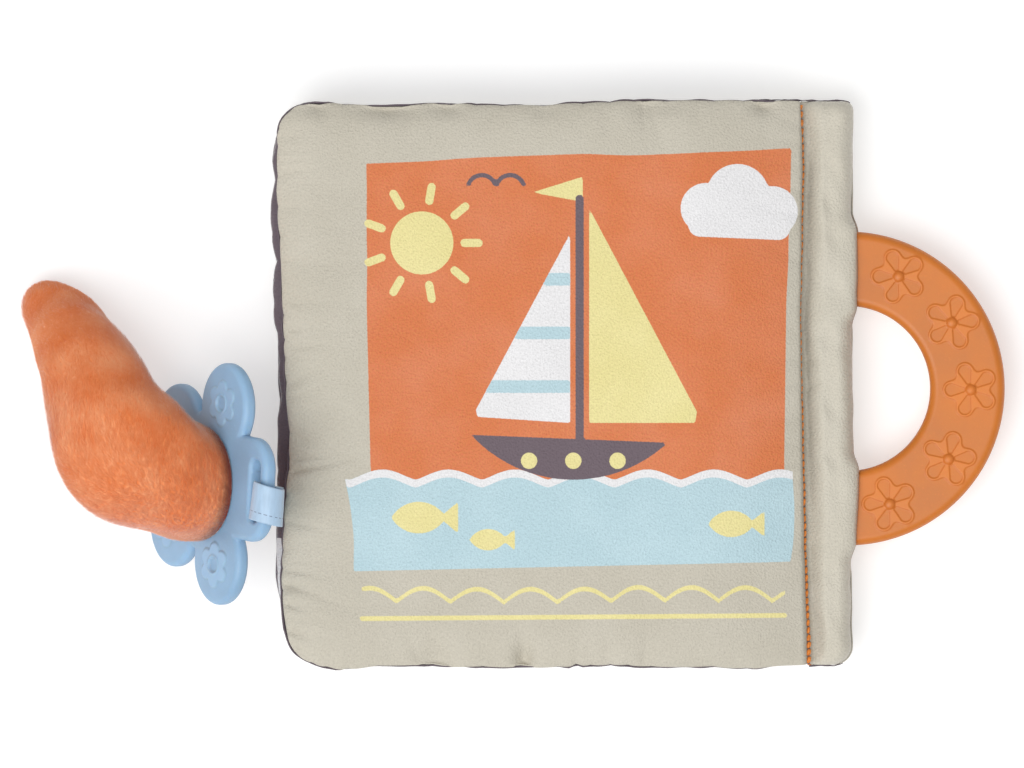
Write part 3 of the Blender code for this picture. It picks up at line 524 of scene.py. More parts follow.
# The cover's printed design, in millimetres on the flat cloth
MM = 0.001
COVER_INKS = (PRINT_ORANGE, PRINT_BLUE, PRINT_WHITE, PRINT_YELLOW, PRINT_PLUM, PRINT_BLUE, PRINT_YELLOW)
FIELD = ((-64, 70), (70.5, 75), (69, -50), (-61, -54))
FIELD_SWAY = (0.9, 22)
FIELD_LIFT = (0.8, 25, 3)
SEA = ((-71, -20), (72, -20), (71, -56), (-67, -59))
SEA_LEVEL = -30
SWELL = (3.2, 21, 6, 1.3)
FOAM = 2.5
HULL = ((2, 14), 44)
HULL_TOP = -17
HULL_SHEER = 0.04
HULL_KEEL = -31
MAST = ((4, -18), (4, 59), 1.3)
MAIN_SAIL = ((7, 56), (7, -12), (43, -12))
MAIN_LEECH = ((-24, 2), 66)
FORE_SAIL = ((1, 48), (1, -12), (-30, -10))
FORE_LEECH = ((32, 4), 62)
SAIL_STRIPES = (17, 8, 2)
FLAG = ((5, 66), (5, 58), (-11, 61))
SUN = ((-46, 45), 10)
SUN_RAYS = 9
SUN_RAY = (13.5, 18, 1.3)
CLOUD = (((44, 56), 8), ((54, 60), 10), ((65, 55), 8))
CLOUD_FOOT = ((42, 50.5), (67, 49.5), 3.5)
FISH = (((-47, -42), 5.0), ((52, -44), 4.2), ((-25, -49), 3.4))
FISH_TAIL = ((1.3, 0), (2.5, 1), (2.5, -1))
PORTS = ((-12, -24), (2, -24), (16, -24))
PORT_RADIUS = 2.6
GULLS = ((-27, 62), (-18, 62))
GULL_RADIUS = 4.5
GULL_LINE = 0.7
GULL_LEVEL = 63
WAVED_LEVEL = -68.5
WAVED_LINE = (4.2, 17, 3, 1)
WAVED_LIFT = 0.5
WAVED_SPAN = (2, 67)
LINE_HALF = 0.75
LOW_LINE = ((-65, -74), (69, -73), LINE_HALF)

# The pages' plain balls, in millimetres, and the white patch at a fore edge, in metres
PAGE_INKS = (PRINT_BLUE, PRINT_YELLOW, PRINT_ORANGE)
EDGE_INKS = (PRINT_YELLOW, PRINT_BLUE, PRINT_ORANGE)
BALLS = 3
BALL_SPAN = ((-62, 50), (-62, 62), (9, 17))
EDGE_PATCH = ((-0.12, -0.0475), (-0.078, -0.049), (-0.079, -0.0685), (-0.12, -0.068))

# Seeds of what varies, and what is added to a leaf's own seed
NOISE_CELLS = 97
SEEDS = {"balls": 4, "sway": 5, "lift": 6, "leaf": 11, "row": 31, "nap": 71, "pile": 77, "strip": 210}
SEEDS |= {"tabs": 301, "tape": 341, "stitches": 351, "ribbon": 401, "lumps": 501}
LEAF_SEED_STEP = 7
SHIFTS = {"drift": 9, "head": 20, "tail": 40, "lining": 50, "gutter": 60, "folds": 70}
SHIFTS |= {"small": 80, "under": 100}


# Helpers for numbers


def smooth_step(share):
    """0 to 1 with level ends."""
    share = np.clip(share, 0, 1)
    return share * share * (3 - 2 * share)


def round_rise(share, power=2.0):
    """The rounded rise of a stuffed edge, 0 to 1."""
    share = np.clip(share, 0, 1)
    return (1 - (1 - share) ** power) ** (1 / power)


def plane_noise(x, y, seed):
    """Smooth noise from -1 to 1 over a plane, one lattice cell to a unit."""
    table = np.random.default_rng(seed).uniform(-1, 1, (NOISE_CELLS, NOISE_CELLS))
    x, y = np.broadcast_arrays(np.asarray(x, float), np.asarray(y, float))
    column, row = np.floor(x).astype(int), np.floor(y).astype(int)
    across, along = (t * t * t * (t * (6 * t - 15) + 10) for t in (x - column, y - row))

    def corner(i, j):
        return table[(row + j) % NOISE_CELLS, (column + i) % NOISE_CELLS]

    low = corner(0, 0) * (1 - across) + corner(1, 0) * across
    high = corner(0, 1) * (1 - across) + corner(1, 1) * across
    return low * (1 - along) + high * along


def once_round(count):
    """Even angles once round."""
    return np.linspace(0, math.tau, count, endpoint=False)


def ray(angle):
    """The direction at an angle."""
    return np.array((math.cos(angle), math.sin(angle)))


def dome(distance, radius):
    """The height of a half ball, 0 to 1."""
    return np.sqrt(np.clip(1 - (distance / radius) ** 2, 0, 1))


def relax(line, times):
    """Smooth a line of points, with its ends where they are."""
    for _ in range(times):
        line = np.concatenate([line[:1], (line[:-2] + 2 * line[1:-1] + line[2:]) / 4, line[-1:]])
    return line


def linear(colour, factor=1):
    """A colour as it looks, made lighter or darker, as the shader's linear values."""
    parts = [min(channel * factor, 255) / 255 for channel in colour]
    parts = [p / 12.92 if p <= 0.04045 else ((p + 0.055) / 1.055) ** 2.4 for p in parts]
    return (*parts, 1)


# Helpers for meshes


def new_piece(name, points, faces, paint):
    """A smooth-shaded mesh object in the scene."""
    mesh = bpy.data.meshes.new(name)
    faces = faces.tolist() if isinstance(faces, np.ndarray) else faces
    mesh.from_pydata(np.asarray(points).reshape(-1, 3).tolist(), [], faces)
    mesh.shade_smooth()
    mesh.materials.append(paint)
    piece = bpy.data.objects.new(name, mesh)
    bpy.context.scene.collection.objects.link(piece)
    return piece


def grid_faces(rows, columns, around=False, closed=False, flip=False):
    """Quads over a grid of points, joined across its columns, and across its rows too if closed."""
    index = np.arange(rows * columns).reshape(rows, columns)
    if closed:
        index = np.concatenate([index, index[:1]])
    if around or closed:
        index = np.concatenate([index, index[:, :1]], axis=1)
    quads = [index[:-1, :-1], index[1:, :-1], index[1:, 1:], index[:-1, 1:]]
    if flip:
        quads.reverse()
    return np.stack(quads, -1).reshape(-1, 4)


def points_of(piece):
    """The points of a piece's mesh."""
    return np.array([vert.co for vert in piece.data.vertices])


def set_numbers(piece, name, values):
    """A number at each point of a piece, for its paint."""
    layer = piece.data.attributes.new(name, "FLOAT", "POINT")
    layer.data.foreach_set("value", np.asarray(values, np.float32).ravel())


def set_places(piece, places):
    """The place on the flat cloth of each point of a piece, for its paint."""
    layer = piece.data.attributes.new("cloth", "FLOAT_VECTOR", "POINT")
    layer.data.foreach_set("vector", np.asarray(places, np.float32).ravel())


def thicken(piece):
    """Give a sheet of cloth its thickness on its inner side."""
    solidify = piece.modifiers.new("thickness", "SOLIDIFY")
    solidify.thickness = CLOTH
    solidify.offset = -1
    solidify.use_even_offset = False


def put(piece, place):
    """Move a piece's mesh to its place, with its object left at the origin."""
    piece.data.transform(place)


def face_out(piece):
    """Turn a closed piece's faces outwards."""
    bm = bmesh.new()
    bm.from_mesh(piece.data)
    bmesh.ops.recalc_face_normals(bm, faces=bm.faces)
    bm.to_mesh(piece.data)
    bm.free()


def tube_piece(name, rings, paint):
    """A tube through rings of points, with flat ends."""
    rings = np.asarray(rings, float)
    count, sides = rings.shape[:2]
    piece = new_piece(name, rings, grid_faces(count, sides, around=True), paint)
    bm = bmesh.new()
    bm.from_mesh(piece.data)
    bm.verts.ensure_lookup_table()
    for first in (0, (count - 1) * sides):
        bm.faces.new(bm.verts[first : first + sides])
    bm.to_mesh(piece.data)
    bm.free()
    face_out(piece)
    return piece


def join(pieces, name):
    """Several pieces as one mesh."""
    bm = bmesh.new()
    for piece in pieces:
        bm.from_mesh(piece.data)
    bm.to_mesh(pieces[0].data)
    bm.free()
    for piece in pieces[1:]:
        bpy.data.objects.remove(piece)
    pieces[0].name = name
    pieces[0].data.name = name
    pieces[0].data.shade_smooth()
    return pieces[0]


def bake_modifiers(piece):
    """Make a piece's modifiers part of its mesh."""
    bpy.context.view_layer.update()
    graph = bpy.context.evaluated_depsgraph_get()
    mesh = bpy.data.meshes.new_from_object(piece.evaluated_get(graph))
    piece.modifiers.clear()
    piece.data = mesh
    mesh.shade_smooth()


def joint_place(frame, name):
    """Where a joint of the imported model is."""
    return Vector(next(joint["pos_m"] for joint in frame["joints"] if joint["name"] == name))


# Paints


class Paint:
    """A material in the making, with the place that its noises follow."""

    def __init__(self, name, on_cloth=True, **values):
        self.material = bpy.data.materials.new(name)
        self.material.use_nodes = True
        self.tree = self.material.node_tree
        self.shader = self.tree.nodes["Principled BSDF"]
        for socket, value in values.items():
            self.shader.inputs[socket.replace("_", " ").title()].default_value = value
        if on_cloth:
            self.place = self.node("Attribute", {}, attribute_name="cloth").outputs["Vector"]
        else:
            self.place = self.node("TexCoord", {}).outputs["Object"]

    def node(self, kind, inputs, **settings):
        """A shader node with its sockets set or linked."""
        made = self.tree.nodes.new("ShaderNode" + kind)
        for name, value in settings.items():
            setattr(made, name, value)
        for key, value in inputs.items():
            if isinstance(value, bpy.types.NodeSocket):
                self.tree.links.new(value, made.inputs[key])
            else:
                made.inputs[key].default_value = value
        return made

    def stored(self, name):
        """A number stored at the mesh's points."""
        return self.node("Attribute", {}, attribute_name=name).outputs["Fac"]

    def noise(self, size, detail=2, stretch=None):
        """Noise with features of a size."""
        vector = self.place
        if stretch:
            vector = self.node("Mapping", {"Vector": vector, "Scale": stretch}).outputs[0]
        settings = {"Vector": vector, "Scale": 1 / size, "Detail": detail}
        return self.node("TexNoise", settings).outputs[0]

    def mix(self, factor, first, second):
        """A mix of two colours."""
        return self.node("Mix", {0: factor, 6: first, 7: second}, data_type="RGBA").outputs[2]

    def spread(self, value, low, high, to_low=0.0, to_high=1.0):
        """A value taken from one span to another."""
        settings = {"Value": value, "From Min": low, "From Max": high, "To Min": to_low, "To Max": to_high}
        return self.node("MapRange", settings).outputs[0]

    def times(self, value, factor):
        """A value times a factor."""
        return self.node("Math", {0: value, 1: factor}, operation="MULTIPLY").outputs[0]

    def plus(self, first, second):
        """Two values together."""
        return self.node("Math", {0: first, 1: second}, operation="ADD").outputs[0]

    def bump(self, height, distance, strength, **normal):
        """A bumped normal, on top of another one if given."""
        inputs = {"Height": height, "Distance": distance, "Strength": strength, **normal}
        return self.node("Bump", inputs).outputs[0]

    def finish(self, **sockets):
        """The material, with what its shader takes."""
        for socket, value in sockets.items():
            self.tree.links.new(value, self.shader.inputs[socket.replace("_", " ").title()])
        return self.material


def cloth_paint(name, colour, inks=(), sheen=BEIGE_SHEEN):
    """Brushed cotton satin: a pebbled nap, threads, faint patches and printed shapes."""
    paint = Paint(name, sheen_weight=sheen, **COTTON)
    pebble = paint.noise(PEBBLE)
    thread = paint.noise(THREAD, stretch=THREAD_STRETCH)
    patches = paint.noise(WORN_PATCH, 3)
    tint = paint.noise(TINT, stretch=TINT_STRETCH)
    base = linear(colour)
    for index, ink in enumerate(inks):
        ragged = paint.plus(paint.stored(f"print_{index}"), paint.times(pebble, INK_RAGGED))
        base = paint.mix(paint.spread(ragged, *INK_SPAN), base, linear(ink))
    mottle = paint.plus(paint.times(pebble, PEBBLE_SHARE), paint.times(thread, 1 - PEBBLE_SHARE))
    value = paint.spread(mottle, *MOTTLE_SPAN)
    hue = paint.spread(tint, *TINT_SPAN)
    speckled = paint.node("HueSaturation", {"Hue": hue, "Value": value, "Color": base}).outputs[0]
    worn = paint.node("HueSaturation", {**WORN, "Color": speckled}).outputs[0]
    toned = paint.mix(paint.spread(patches, *WORN_SPAN), speckled, worn)
    pebbled = paint.bump(pebble, *PEBBLE_BUMP)
    return paint.finish(base_color=toned, normal=paint.bump(thread, *THREAD_BUMP, Normal=pebbled))


def silicone_paint(name, colour, roughness):
    """Matt moulded silicone with a faint bloom, painted shade on the slopes of its relief and a painted
    highlight on its flat raised tops.
    """
    paint = Paint(name, on_cloth=False, roughness=roughness, **SILICONE)
    bloom = paint.noise(BLOOM, 4)
    speck = paint.noise(SPECK)
    toned = paint.mix(paint.spread(bloom, *BLOOM_SPAN), *(linear(colour, factor) for factor in BLOOM_SHADES))
    toned = paint.mix(paint.spread(speck, *SPECK_SPAN), toned, linear(colour, SPECK_SHADE))
    # Painted shade on the relief's slopes
    deep = linear(np.multiply(colour, GROOVE_PAINTED_SHADES))
    toned = paint.mix(paint.times(paint.stored("groove"), GROOVE_SHARE), toned, deep)
    # Painted highlight on the flat raised tops
    toned = paint.mix(paint.times(paint.stored("crest"), CREST_SHARE), toned, linear(colour, CREST_PAINTED_HIGHLIGHT))
    rough = paint.spread(bloom, *ROUGH_SPAN, *(roughness + swing for swing in ROUGH_SWING))
    return paint.finish(base_color=toned, roughness=rough, normal=paint.bump(speck, *SPECK_BUMP))


def satin_paint(name, colour):
    """Satin ribbon: fine cross ribs and a soft gloss."""
    paint = Paint(name, **SATIN)
    waves = {"Vector": paint.place, "Scale": WAVE_UNIT / RIB_PITCH}
    waves |= {"Distortion": RIB_DISTORTION, "Detail Scale": RIB_DETAIL}
    ribs = paint.node("TexWave", waves, bands_direction="X").outputs["Fac"]
    floats = paint.noise(FLOATS, stretch=FLOAT_STRETCH)
    tone = paint.plus(paint.times(ribs, 0.5), paint.times(floats, 0.5))
    woven = paint.mix(paint.spread(tone, *SATIN_SPAN), *(linear(colour, factor) for factor in SATIN_SHADES))
    hemmed = paint.mix(paint.stored("hem"), woven, linear(HEM_GREY))
    return paint.finish(base_color=hemmed, normal=paint.bump(tone, *SATIN_BUMP))


def plush_paint(name, tipped):
    """Short plush: nap that leans in patches, light at the tips of its pile, with painted shade where it
    meets the flower.
    """
    paint = Paint(name, **PLUSH)
    nap = paint.noise(NAP, 4)
    streaks = paint.noise(STREAK, 3, STREAK_STRETCH)
    dark = paint.mix(paint.spread(nap, *NAP_SPAN), linear(PLUSH_DARK), linear(PLUSH_ORANGE))
    light = paint.mix(paint.spread(nap, *NAP_SPAN), linear(PLUSH_ORANGE), linear(PLUSH_LIGHT))
    factor = paint.stored("tip") if tipped else paint.spread(streaks, *STREAK_SPAN)
    if not tipped:
        paint.finish(normal=paint.bump(streaks, *STREAK_BUMP))
    pile = paint.mix(factor, dark, light)
    # Painted shade where the plush meets the flower
    return paint.finish(base_color=paint.mix(paint.stored("seat"), pile, linear(PLUSH_SEAT_PAINTED_SHADE)))


def thread_paint(name, colour):
    """Twisted polyester thread."""
    paint = Paint(name, **POLYESTER)
    fibres = paint.noise(FIBRE, 3, FIBRE_STRETCH)
    shades = (linear(colour, factor) for factor in FIBRE_SHADES)
    twisted = paint.mix(paint.spread(fibres, *FIBRE_SPAN), *shades)
    gapped = paint.mix(paint.stored("gap"), twisted, linear(SEWN_DARK))
    return paint.finish(base_color=gapped, normal=paint.bump(fibres, *FIBRE_BUMP))


# Printed shapes: distances from an edge, negative inside


def disc(x, y, centre, radius):
    """A round spot."""
    return np.hypot(x - centre[0], y - centre[1]) - radius


def bar(x, y, start, end, radius):
    """A stroke with round ends."""
    run = np.subtract(end, start)
    share = np.clip(((x - start[0]) * run[0] + (y - start[1]) * run[1]) / (run @ run), 0, 1)
    return np.hypot(x - start[0] - share * run[0], y - start[1] - share * run[1]) - radius


def patch(x, y, corners):
    """A shape with straight sides through its corners."""
    corners = np.asarray(corners, float)
    inside = np.zeros(np.shape(x), bool)
    best = np.full(np.shape(x), np.inf)
    for start, end in zip(corners, np.roll(corners, -1, axis=0)):
        best = np.minimum(best, bar(x, y, start, end, 0))
        crosses = (start[1] > y) != (end[1] > y)
        rise = end[1] - start[1] if end[1] != start[1] else np.inf
        inside ^= crosses & (x < start[0] + (y - start[1]) * (end[0] - start[0]) / rise)
    return np.where(inside, -best, best)


def any_of(*shapes):
    """All of the shapes together."""
    return np.minimum.reduce(shapes)


def both(*shapes):
    """What the shapes share."""
    return np.maximum.reduce(shapes)


def crests(x, height, pitch, shift, sharpness):
    """The height of a row of round waves."""
    return height * np.abs(np.sin(math.pi * (x + shift) / pitch)) ** sharpness


def one_fish(x, y, centre, size):
    """A plain fish that swims to the left."""
    low, high = ((centre[0], centre[1] + side * size) for side in (-1, 1))
    body = both(disc(x, y, high, 2 * size), disc(x, y, low, 2 * size))
    return any_of(body, patch(x, y, np.array(centre) + size * np.array(FISH_TAIL)))


def cover_prints(x, y):
    """A generic seaside design: a boat with two sails, sun, cloud, fish and waves."""
    x, y = x / MM, y / MM
    sway = FIELD_SWAY[0] * plane_noise(y / FIELD_SWAY[1], 0, SEEDS["sway"])
    lift = FIELD_LIFT[0] * plane_noise(x / FIELD_LIFT[1], FIELD_LIFT[2], SEEDS["lift"])
    field = patch(x + sway, y + lift, FIELD)
    surface = y - SEA_LEVEL - crests(x, *SWELL)
    sea = both(patch(x + sway, y, SEA), surface)
    foam = both(sea, -surface - FOAM)
    hull = both(disc(x, y, *HULL), y - HULL_TOP + HULL_SHEER * x, HULL_KEEL - y)
    main_sail = both(patch(x, y, MAIN_SAIL), disc(x, y, *MAIN_LEECH))
    fore_sail = both(patch(x, y, FORE_SAIL), disc(x, y, *FORE_LEECH))
    pitch, shift, half = SAIL_STRIPES
    stripes = both(fore_sail, np.abs((y - shift) % pitch - pitch / 2) - half)
    inner, outer, ray_half = SUN_RAY
    rays = [ray(turn) for turn in once_round(SUN_RAYS)]
    rays = [bar(x, y, out * inner + SUN[0], out * outer + SUN[0], ray_half) for out in rays]
    sun = any_of(disc(x, y, *SUN), *rays)
    cloud = any_of(bar(x, y, *CLOUD_FOOT), *(disc(x, y, *puff) for puff in CLOUD))
    fish = any_of(*(one_fish(x, y, *place) for place in FISH))
    ports = any_of(*(disc(x, y, centre, PORT_RADIUS) for centre in PORTS))
    waved = np.abs(y - WAVED_LEVEL - crests(x, *WAVED_LINE) - WAVED_LIFT * lift) - LINE_HALF
    border = both(waved, np.abs(x - WAVED_SPAN[0]) - WAVED_SPAN[1])
    border = any_of(border, bar(x, y, *LOW_LINE))
    gulls = any_of(*(np.abs(disc(x, y, centre, GULL_RADIUS)) - GULL_LINE for centre in GULLS))
    shapes = (
        field,
        sea,
        any_of(foam, fore_sail, cloud),
        any_of(main_sail, sun, fish, patch(x, y, FLAG), border),
        any_of(hull, bar(x, y, *MAST), both(gulls, GULL_LEVEL - y)),
        stripes,
        ports,
    )
    return [shape * MM for shape in shapes]


def page_prints(x, y, seed):
    """Big plain balls over a page, for its three inks."""
    x, y = x / MM, y / MM
    random = np.random.default_rng(seed)
    shapes = []
    for _ in PAGE_INKS:
        balls = [[random.uniform(*span) for span in BALL_SPAN] for _ in range(BALLS)]
        shapes.append(MM * any_of(*(disc(x, y, ball[:2], ball[2]) for ball in balls)))
    return shapes


def edge_prints(x, y):
    """The white patch at a page's fore edge and its plain balls."""
    return [patch(x, y, EDGE_PATCH)] + page_prints(x, y, SEEDS["balls"])


# Leaves


def stations(reach, step):
    """Distances from a sewn edge to the far end, close together on the round of the edge."""
    round_steps, flat_steps = FEWEST_STEPS
    turn = np.linspace(0, math.pi / 2, max(int(EDGE_REACH / step), round_steps))
    count = max(int((reach - EDGE_REACH) / step), flat_steps)
    return np.concatenate([EDGE_REACH * (1 - np.cos(turn)), np.linspace(EDGE_REACH, reach, count + 1)[1:]])


def end_to_end(half, step):
    """Places from one sewn end to the other, close together at both."""
    ends = stations(half, step)
    return np.concatenate([ends[:-1] - half, half - ends[::-1]])


def round_corner(*distances):
    """Pull grid points near a corner onto the corner's round."""
    inner = [CORNER_RADIUS - distance for distance in distances]
    near = (inner[0] > 0) & (inner[1] > 0)
    shares = [np.where(near, value, 0) / CORNER_RADIUS for value in inner]
    pulls = [np.sqrt(np.clip(1 - share**2 / 2, 0, 1)) for share in reversed(shares)]
    return [CORNER_RADIUS - value * pull for value, pull in zip(inner, pulls)]


def hills(along, distance, spacing, seed):
    """Puckers of a seam: round hills with creases between, 1 on a hill and 0 in a crease."""
    slant = HILL_SLANT[0] * plane_noise(along / (HILL_SLANT[1] * spacing), 0, seed)
    drift = HILL_DRIFT[0] * plane_noise(along / (HILL_DRIFT[1] * spacing), HILL_DRIFT[2], seed + 1)
    phase = (along + slant * distance) / spacing + drift
    return np.abs(np.sin(math.pi * phase)) ** HILL_ROUND


def pucker(along, distance, seed, size=PUCKER):
    """How far a sewn edge's puckers sink the cloth."""
    spacing, reach, depth = size
    wider, deeper, share = WIDE_PUCKER
    strength = PUCKER_STRENGTH * np.abs(plane_noise(along / PUCKER_PATCH, 3, seed + 2))
    short = (1 - hills(along, distance, spacing, seed)) * np.exp(-((distance / reach) ** PUCKER_FADE))
    wide = (1 - hills(along, distance, wider * spacing, seed + 3)) * np.exp(-distance / (deeper * reach))
    return depth * strength * (short + share * wide)


def soft_folds(x, y, seed):
    """Gentle waves of stuffed cloth."""
    total = 0
    for index, (x_size, y_size, x_slant, y_slant, depth) in enumerate(SOFT_FOLDS):
        total += depth * plane_noise((x + x_slant * y) / x_size, (y - y_slant * x) / y_size, seed + index)
    return total


def row_x(place):
    """X of the wandering stitch row at a place along Y."""
    height, reach = ROW_WANDER
    return np.interp(place, *ROW) + height * plane_noise(place / reach, 0, SEEDS["row"])


def edge_distances(leaf, reach, place):
    """How far points are from a leaf's fore edge, and from its head or tail."""
    return leaf.reach - reach, leaf.half - np.abs(place)


def outline(leaf, reach, place, is_lining):
    """X and Y of a leaf's points, with its rounded corners and the waves of its seams."""
    from_fore, from_end = edge_distances(leaf, reach, place)
    end, seed = np.sign(place), leaf.seed
    fore_wave = (HILL_SHARE * hills(place, 0, SEAM_HILL, seed) - FORE_WAVE_MIDDLE) * FORE_WAVE
    fore_wave += FORE_DRIFT * plane_noise(place / FORE_DRIFT_REACH, 0, seed + SHIFTS["drift"])
    head_hill, tail_hill = (hills(reach, 0, SEAM_HILL, seed + SHIFTS[name]) for name in ("head", "tail"))
    end_wave = (HILL_SHARE * np.where(place > 0, head_hill, tail_hill) - END_WAVE_MIDDLE) * END_WAVE
    inner_fore, inner_end = round_corner(from_fore, from_end)
    fore_curve = np.interp(place, *leaf.fore) * (1 - np.clip(inner_fore / leaf.reach, 0, 1)) ** 2
    head, tail = (np.interp(leaf.x - reach, *seam) for seam in (HEAD, TAIL))
    end_curve = (END_DRAW_IN + np.where(place > 0, head, tail)) * np.abs(place / leaf.half)
    fore_fade = np.exp(-from_fore / WAVE_FADE)
    end_fade = np.exp(-from_end / WAVE_FADE) * smooth_step(reach / END_WAVE_START)
    x = leaf.x - (leaf.reach - inner_fore) + fore_curve - fore_wave * fore_fade
    y = end * (leaf.half - inner_end - end_curve + end_wave * end_fade)
    if leaf.is_cover and is_lining:
        corners = sum(smooth_step((side * place - start) / blend) for side, start, blend in LINING_CORNERS)
        seed = seed + SHIFTS["lining"]
        proud = 1 + plane_noise(place / LINING_WAVE, 0, seed) + LINING_CORNER_SHARE * corners
        x = x - LINING_REACH * proud * fore_fade
        proud = LINING_END_SHARE + plane_noise(reach / LINING_WAVE, 1, seed)
        y = y + end * LINING_REACH * proud * end_fade
    gutter = row_x(place) if leaf.is_cover else leaf.page_end
    past = np.clip(-reach / GUTTER_REACH, 0, 1)
    return np.where(reach < 0, leaf.x + past * (gutter - leaf.x), x), y


def sink(leaf, reach, place, side):
    """How far puckers and folds sink a leaf's face."""
    from_fore, from_end = edge_distances(leaf, reach, place)
    seed = leaf.seed + (0 if side > 0 else SHIFTS["under"])
    down = pucker(place, from_fore, seed) + pucker(place, from_fore, seed + SHIFTS["small"], SMALL_PUCKER)
    down = down + pucker(reach, from_end, seed + SHIFTS["head"])
    down = down + pucker(place, reach + GUTTER_REACH, seed + SHIFTS["gutter"], GUTTER_PUCKER)
    if leaf.is_front and side > 0:
        for middle, rise, length, depth in FORE_CREASES:
            across = (place - middle - rise * from_fore) / CREASE_HALF
            down = down + depth * np.exp(-(across**2) - (from_fore / length) ** 2)
        for end, dip_reach, dips in DIPS:
            for dip_x, width, depth in dips:
                across = (leaf.x - reach - dip_x) / width
                dip = depth * np.exp(-(across**2) - (from_end / dip_reach) ** 2)
                down = down + dip * (place * end > 0)
    edge = round_rise(from_fore / SINK_START) * round_rise(from_end / SINK_START)
    folds = soft_folds(reach, place, seed + SHIFTS["folds"]) * smooth_step(reach / SOFT_FOLD_START)
    return (down - folds) * edge


def edge_swell(leaf, reach, place):
    """How full the stuffing is, from 0 at the sewn edges to 1."""
    from_fore, from_end = edge_distances(leaf, reach, place)
    return round_rise(from_fore / EDGE_REACH, EDGE_ROUND) * round_rise(from_end / EDGE_REACH, EDGE_ROUND)


def cover_height(leaf, reach, place, side):
    """Height of a cover's face over the middle of the spine, outwards."""
    from_row = reach + GUTTER_REACH
    neck = np.clip(from_row / (NECK_REACH + GUTTER_REACH), 0, 1)
    lift = (1 - PILLOW_SHARE) * np.sin(math.pi / 2 * neck) ** NECK_BEND
    lift = lift + PILLOW_SHARE * round_rise((from_row - PILLOW_START) / PILLOW_REACH)
    level = abs(leaf.level - leaf.spine_z)
    middle = STITCH_RISE + (level - STITCH_RISE) * lift
    swell = edge_swell(leaf, reach, place)
    if side < 0:
        return middle - swell * np.maximum(middle - (level - LEAF_THICKNESS / 2), SEAM_LAYER)
    crown = COVER_CROWN * leaf.is_front * np.cos(math.pi / 2 * place / leaf.half)
    return middle + (LEAF_THICKNESS / 2 + crown) * swell * lift


def page_height(leaf, reach, place, side):
    """Height of a page's face."""
    neck = smooth_step(reach / NECK_REACH)
    half = SEAM_LAYER + (LEAF_THICKNESS / 2 - SEAM_LAYER) * neck
    return leaf.z + (leaf.level - leaf.z) * neck + side * half * edge_swell(leaf, reach, place)


def leaf_reaches(leaf, step):
    """Distances from the hinge to the rows of points, close together beside the gutter too."""
    even = leaf.reach - stations(leaf.reach + GUTTER_REACH, step)
    turn = np.linspace(0, math.pi / 2, PILLOW_STEPS)
    wall = PILLOW_START + PILLOW_REACH * (1 - np.cos(turn)) - GUTTER_REACH
    return np.concatenate([even[even > wall[-1] + step / 2], wall[::-1], [-GUTTER_REACH]])


def leaf_sheet(leaf, side, step):
    """Points of one face of a leaf."""
    reach, place = np.meshgrid(leaf_reaches(leaf, step), end_to_end(leaf.half, step), indexing="ij")
    x, y = outline(leaf, reach, place, side != leaf.outward)
    amount = sink(leaf, reach, place, side)
    up = 1 if leaf.level > leaf.spine_z else -1
    if not leaf.is_cover or side != up:
        amount = np.clip(amount, 0, None) * INNER_SINK
    if leaf.is_cover:
        z = leaf.spine_z + up * (cover_height(leaf, reach, place, side * up) - side * up * amount)
    else:
        z = page_height(leaf, reach, place, side) - side * amount
    return np.stack([x, y, np.maximum(z, TABLE_GAP)], -1)


def build_panel(leaf, side, name, nodes, paint, design=None, step=COARSE_STEP):
    """One cloth panel of a leaf, bending at the gutter."""
    points = leaf_sheet(leaf, side, step)
    piece = new_piece(name, points, grid_faces(*points.shape[:2], flip=side > 0), paint)
    set_places(piece, points * (1, 1, 0))
    for index, shape in enumerate(design(points[..., 0], points[..., 1]) if design else ()):
        set_numbers(piece, f"print_{index}", shape)
    thicken(piece)
    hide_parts(*nodes)
    if leaf.body == "spine":
        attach(piece, "spine")
    else:
        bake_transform(piece)


def leaf_table(frame):
    """The four leaves, with their hinges from the frame's joints."""
    hinges = {joint["child"]: joint["pos_m"] for joint in frame["joints"]}
    spine_z = (hinges["page_1"][2] + hinges["page_2"][2]) / 2
    cover = hinges["front_cover"]
    hinges["back_cover"] = [cover[0], 0, 2 * spine_z - cover[2]]
    leaves = {}
    for index, name in enumerate(("back_cover", "page_2", "page_1", "front_cover")):
        is_cover = name.endswith("cover")
        panels = [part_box(n) for n in frame["nodes"] if n.startswith(name) and not n.endswith("padding")]
        leaves[name] = SimpleNamespace(
            body="spine" if name == "back_cover" else name,
            x=hinges[name][0],
            z=hinges[name][2],
            is_cover=is_cover,
            is_front=name == "front_cover",
            spine_z=spine_z,
            level=LEAF_THICKNESS / 2 + index * (spine_z * 2 - LEAF_THICKNESS) / 3,
            reach=hinges[name][0] - min(low.x for low, _ in panels),
            half=max(high.y for _, high in panels),
            fore=COVER_FORE if is_cover else PAGE_FORE,
            outward=-1 if name == "back_cover" else 1,
            seed=SEEDS["leaf"] + LEAF_SEED_STEP * index,
            page_end=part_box("page_tabs")[0].x + TAB_OVERLAP,
        )
    return leaves


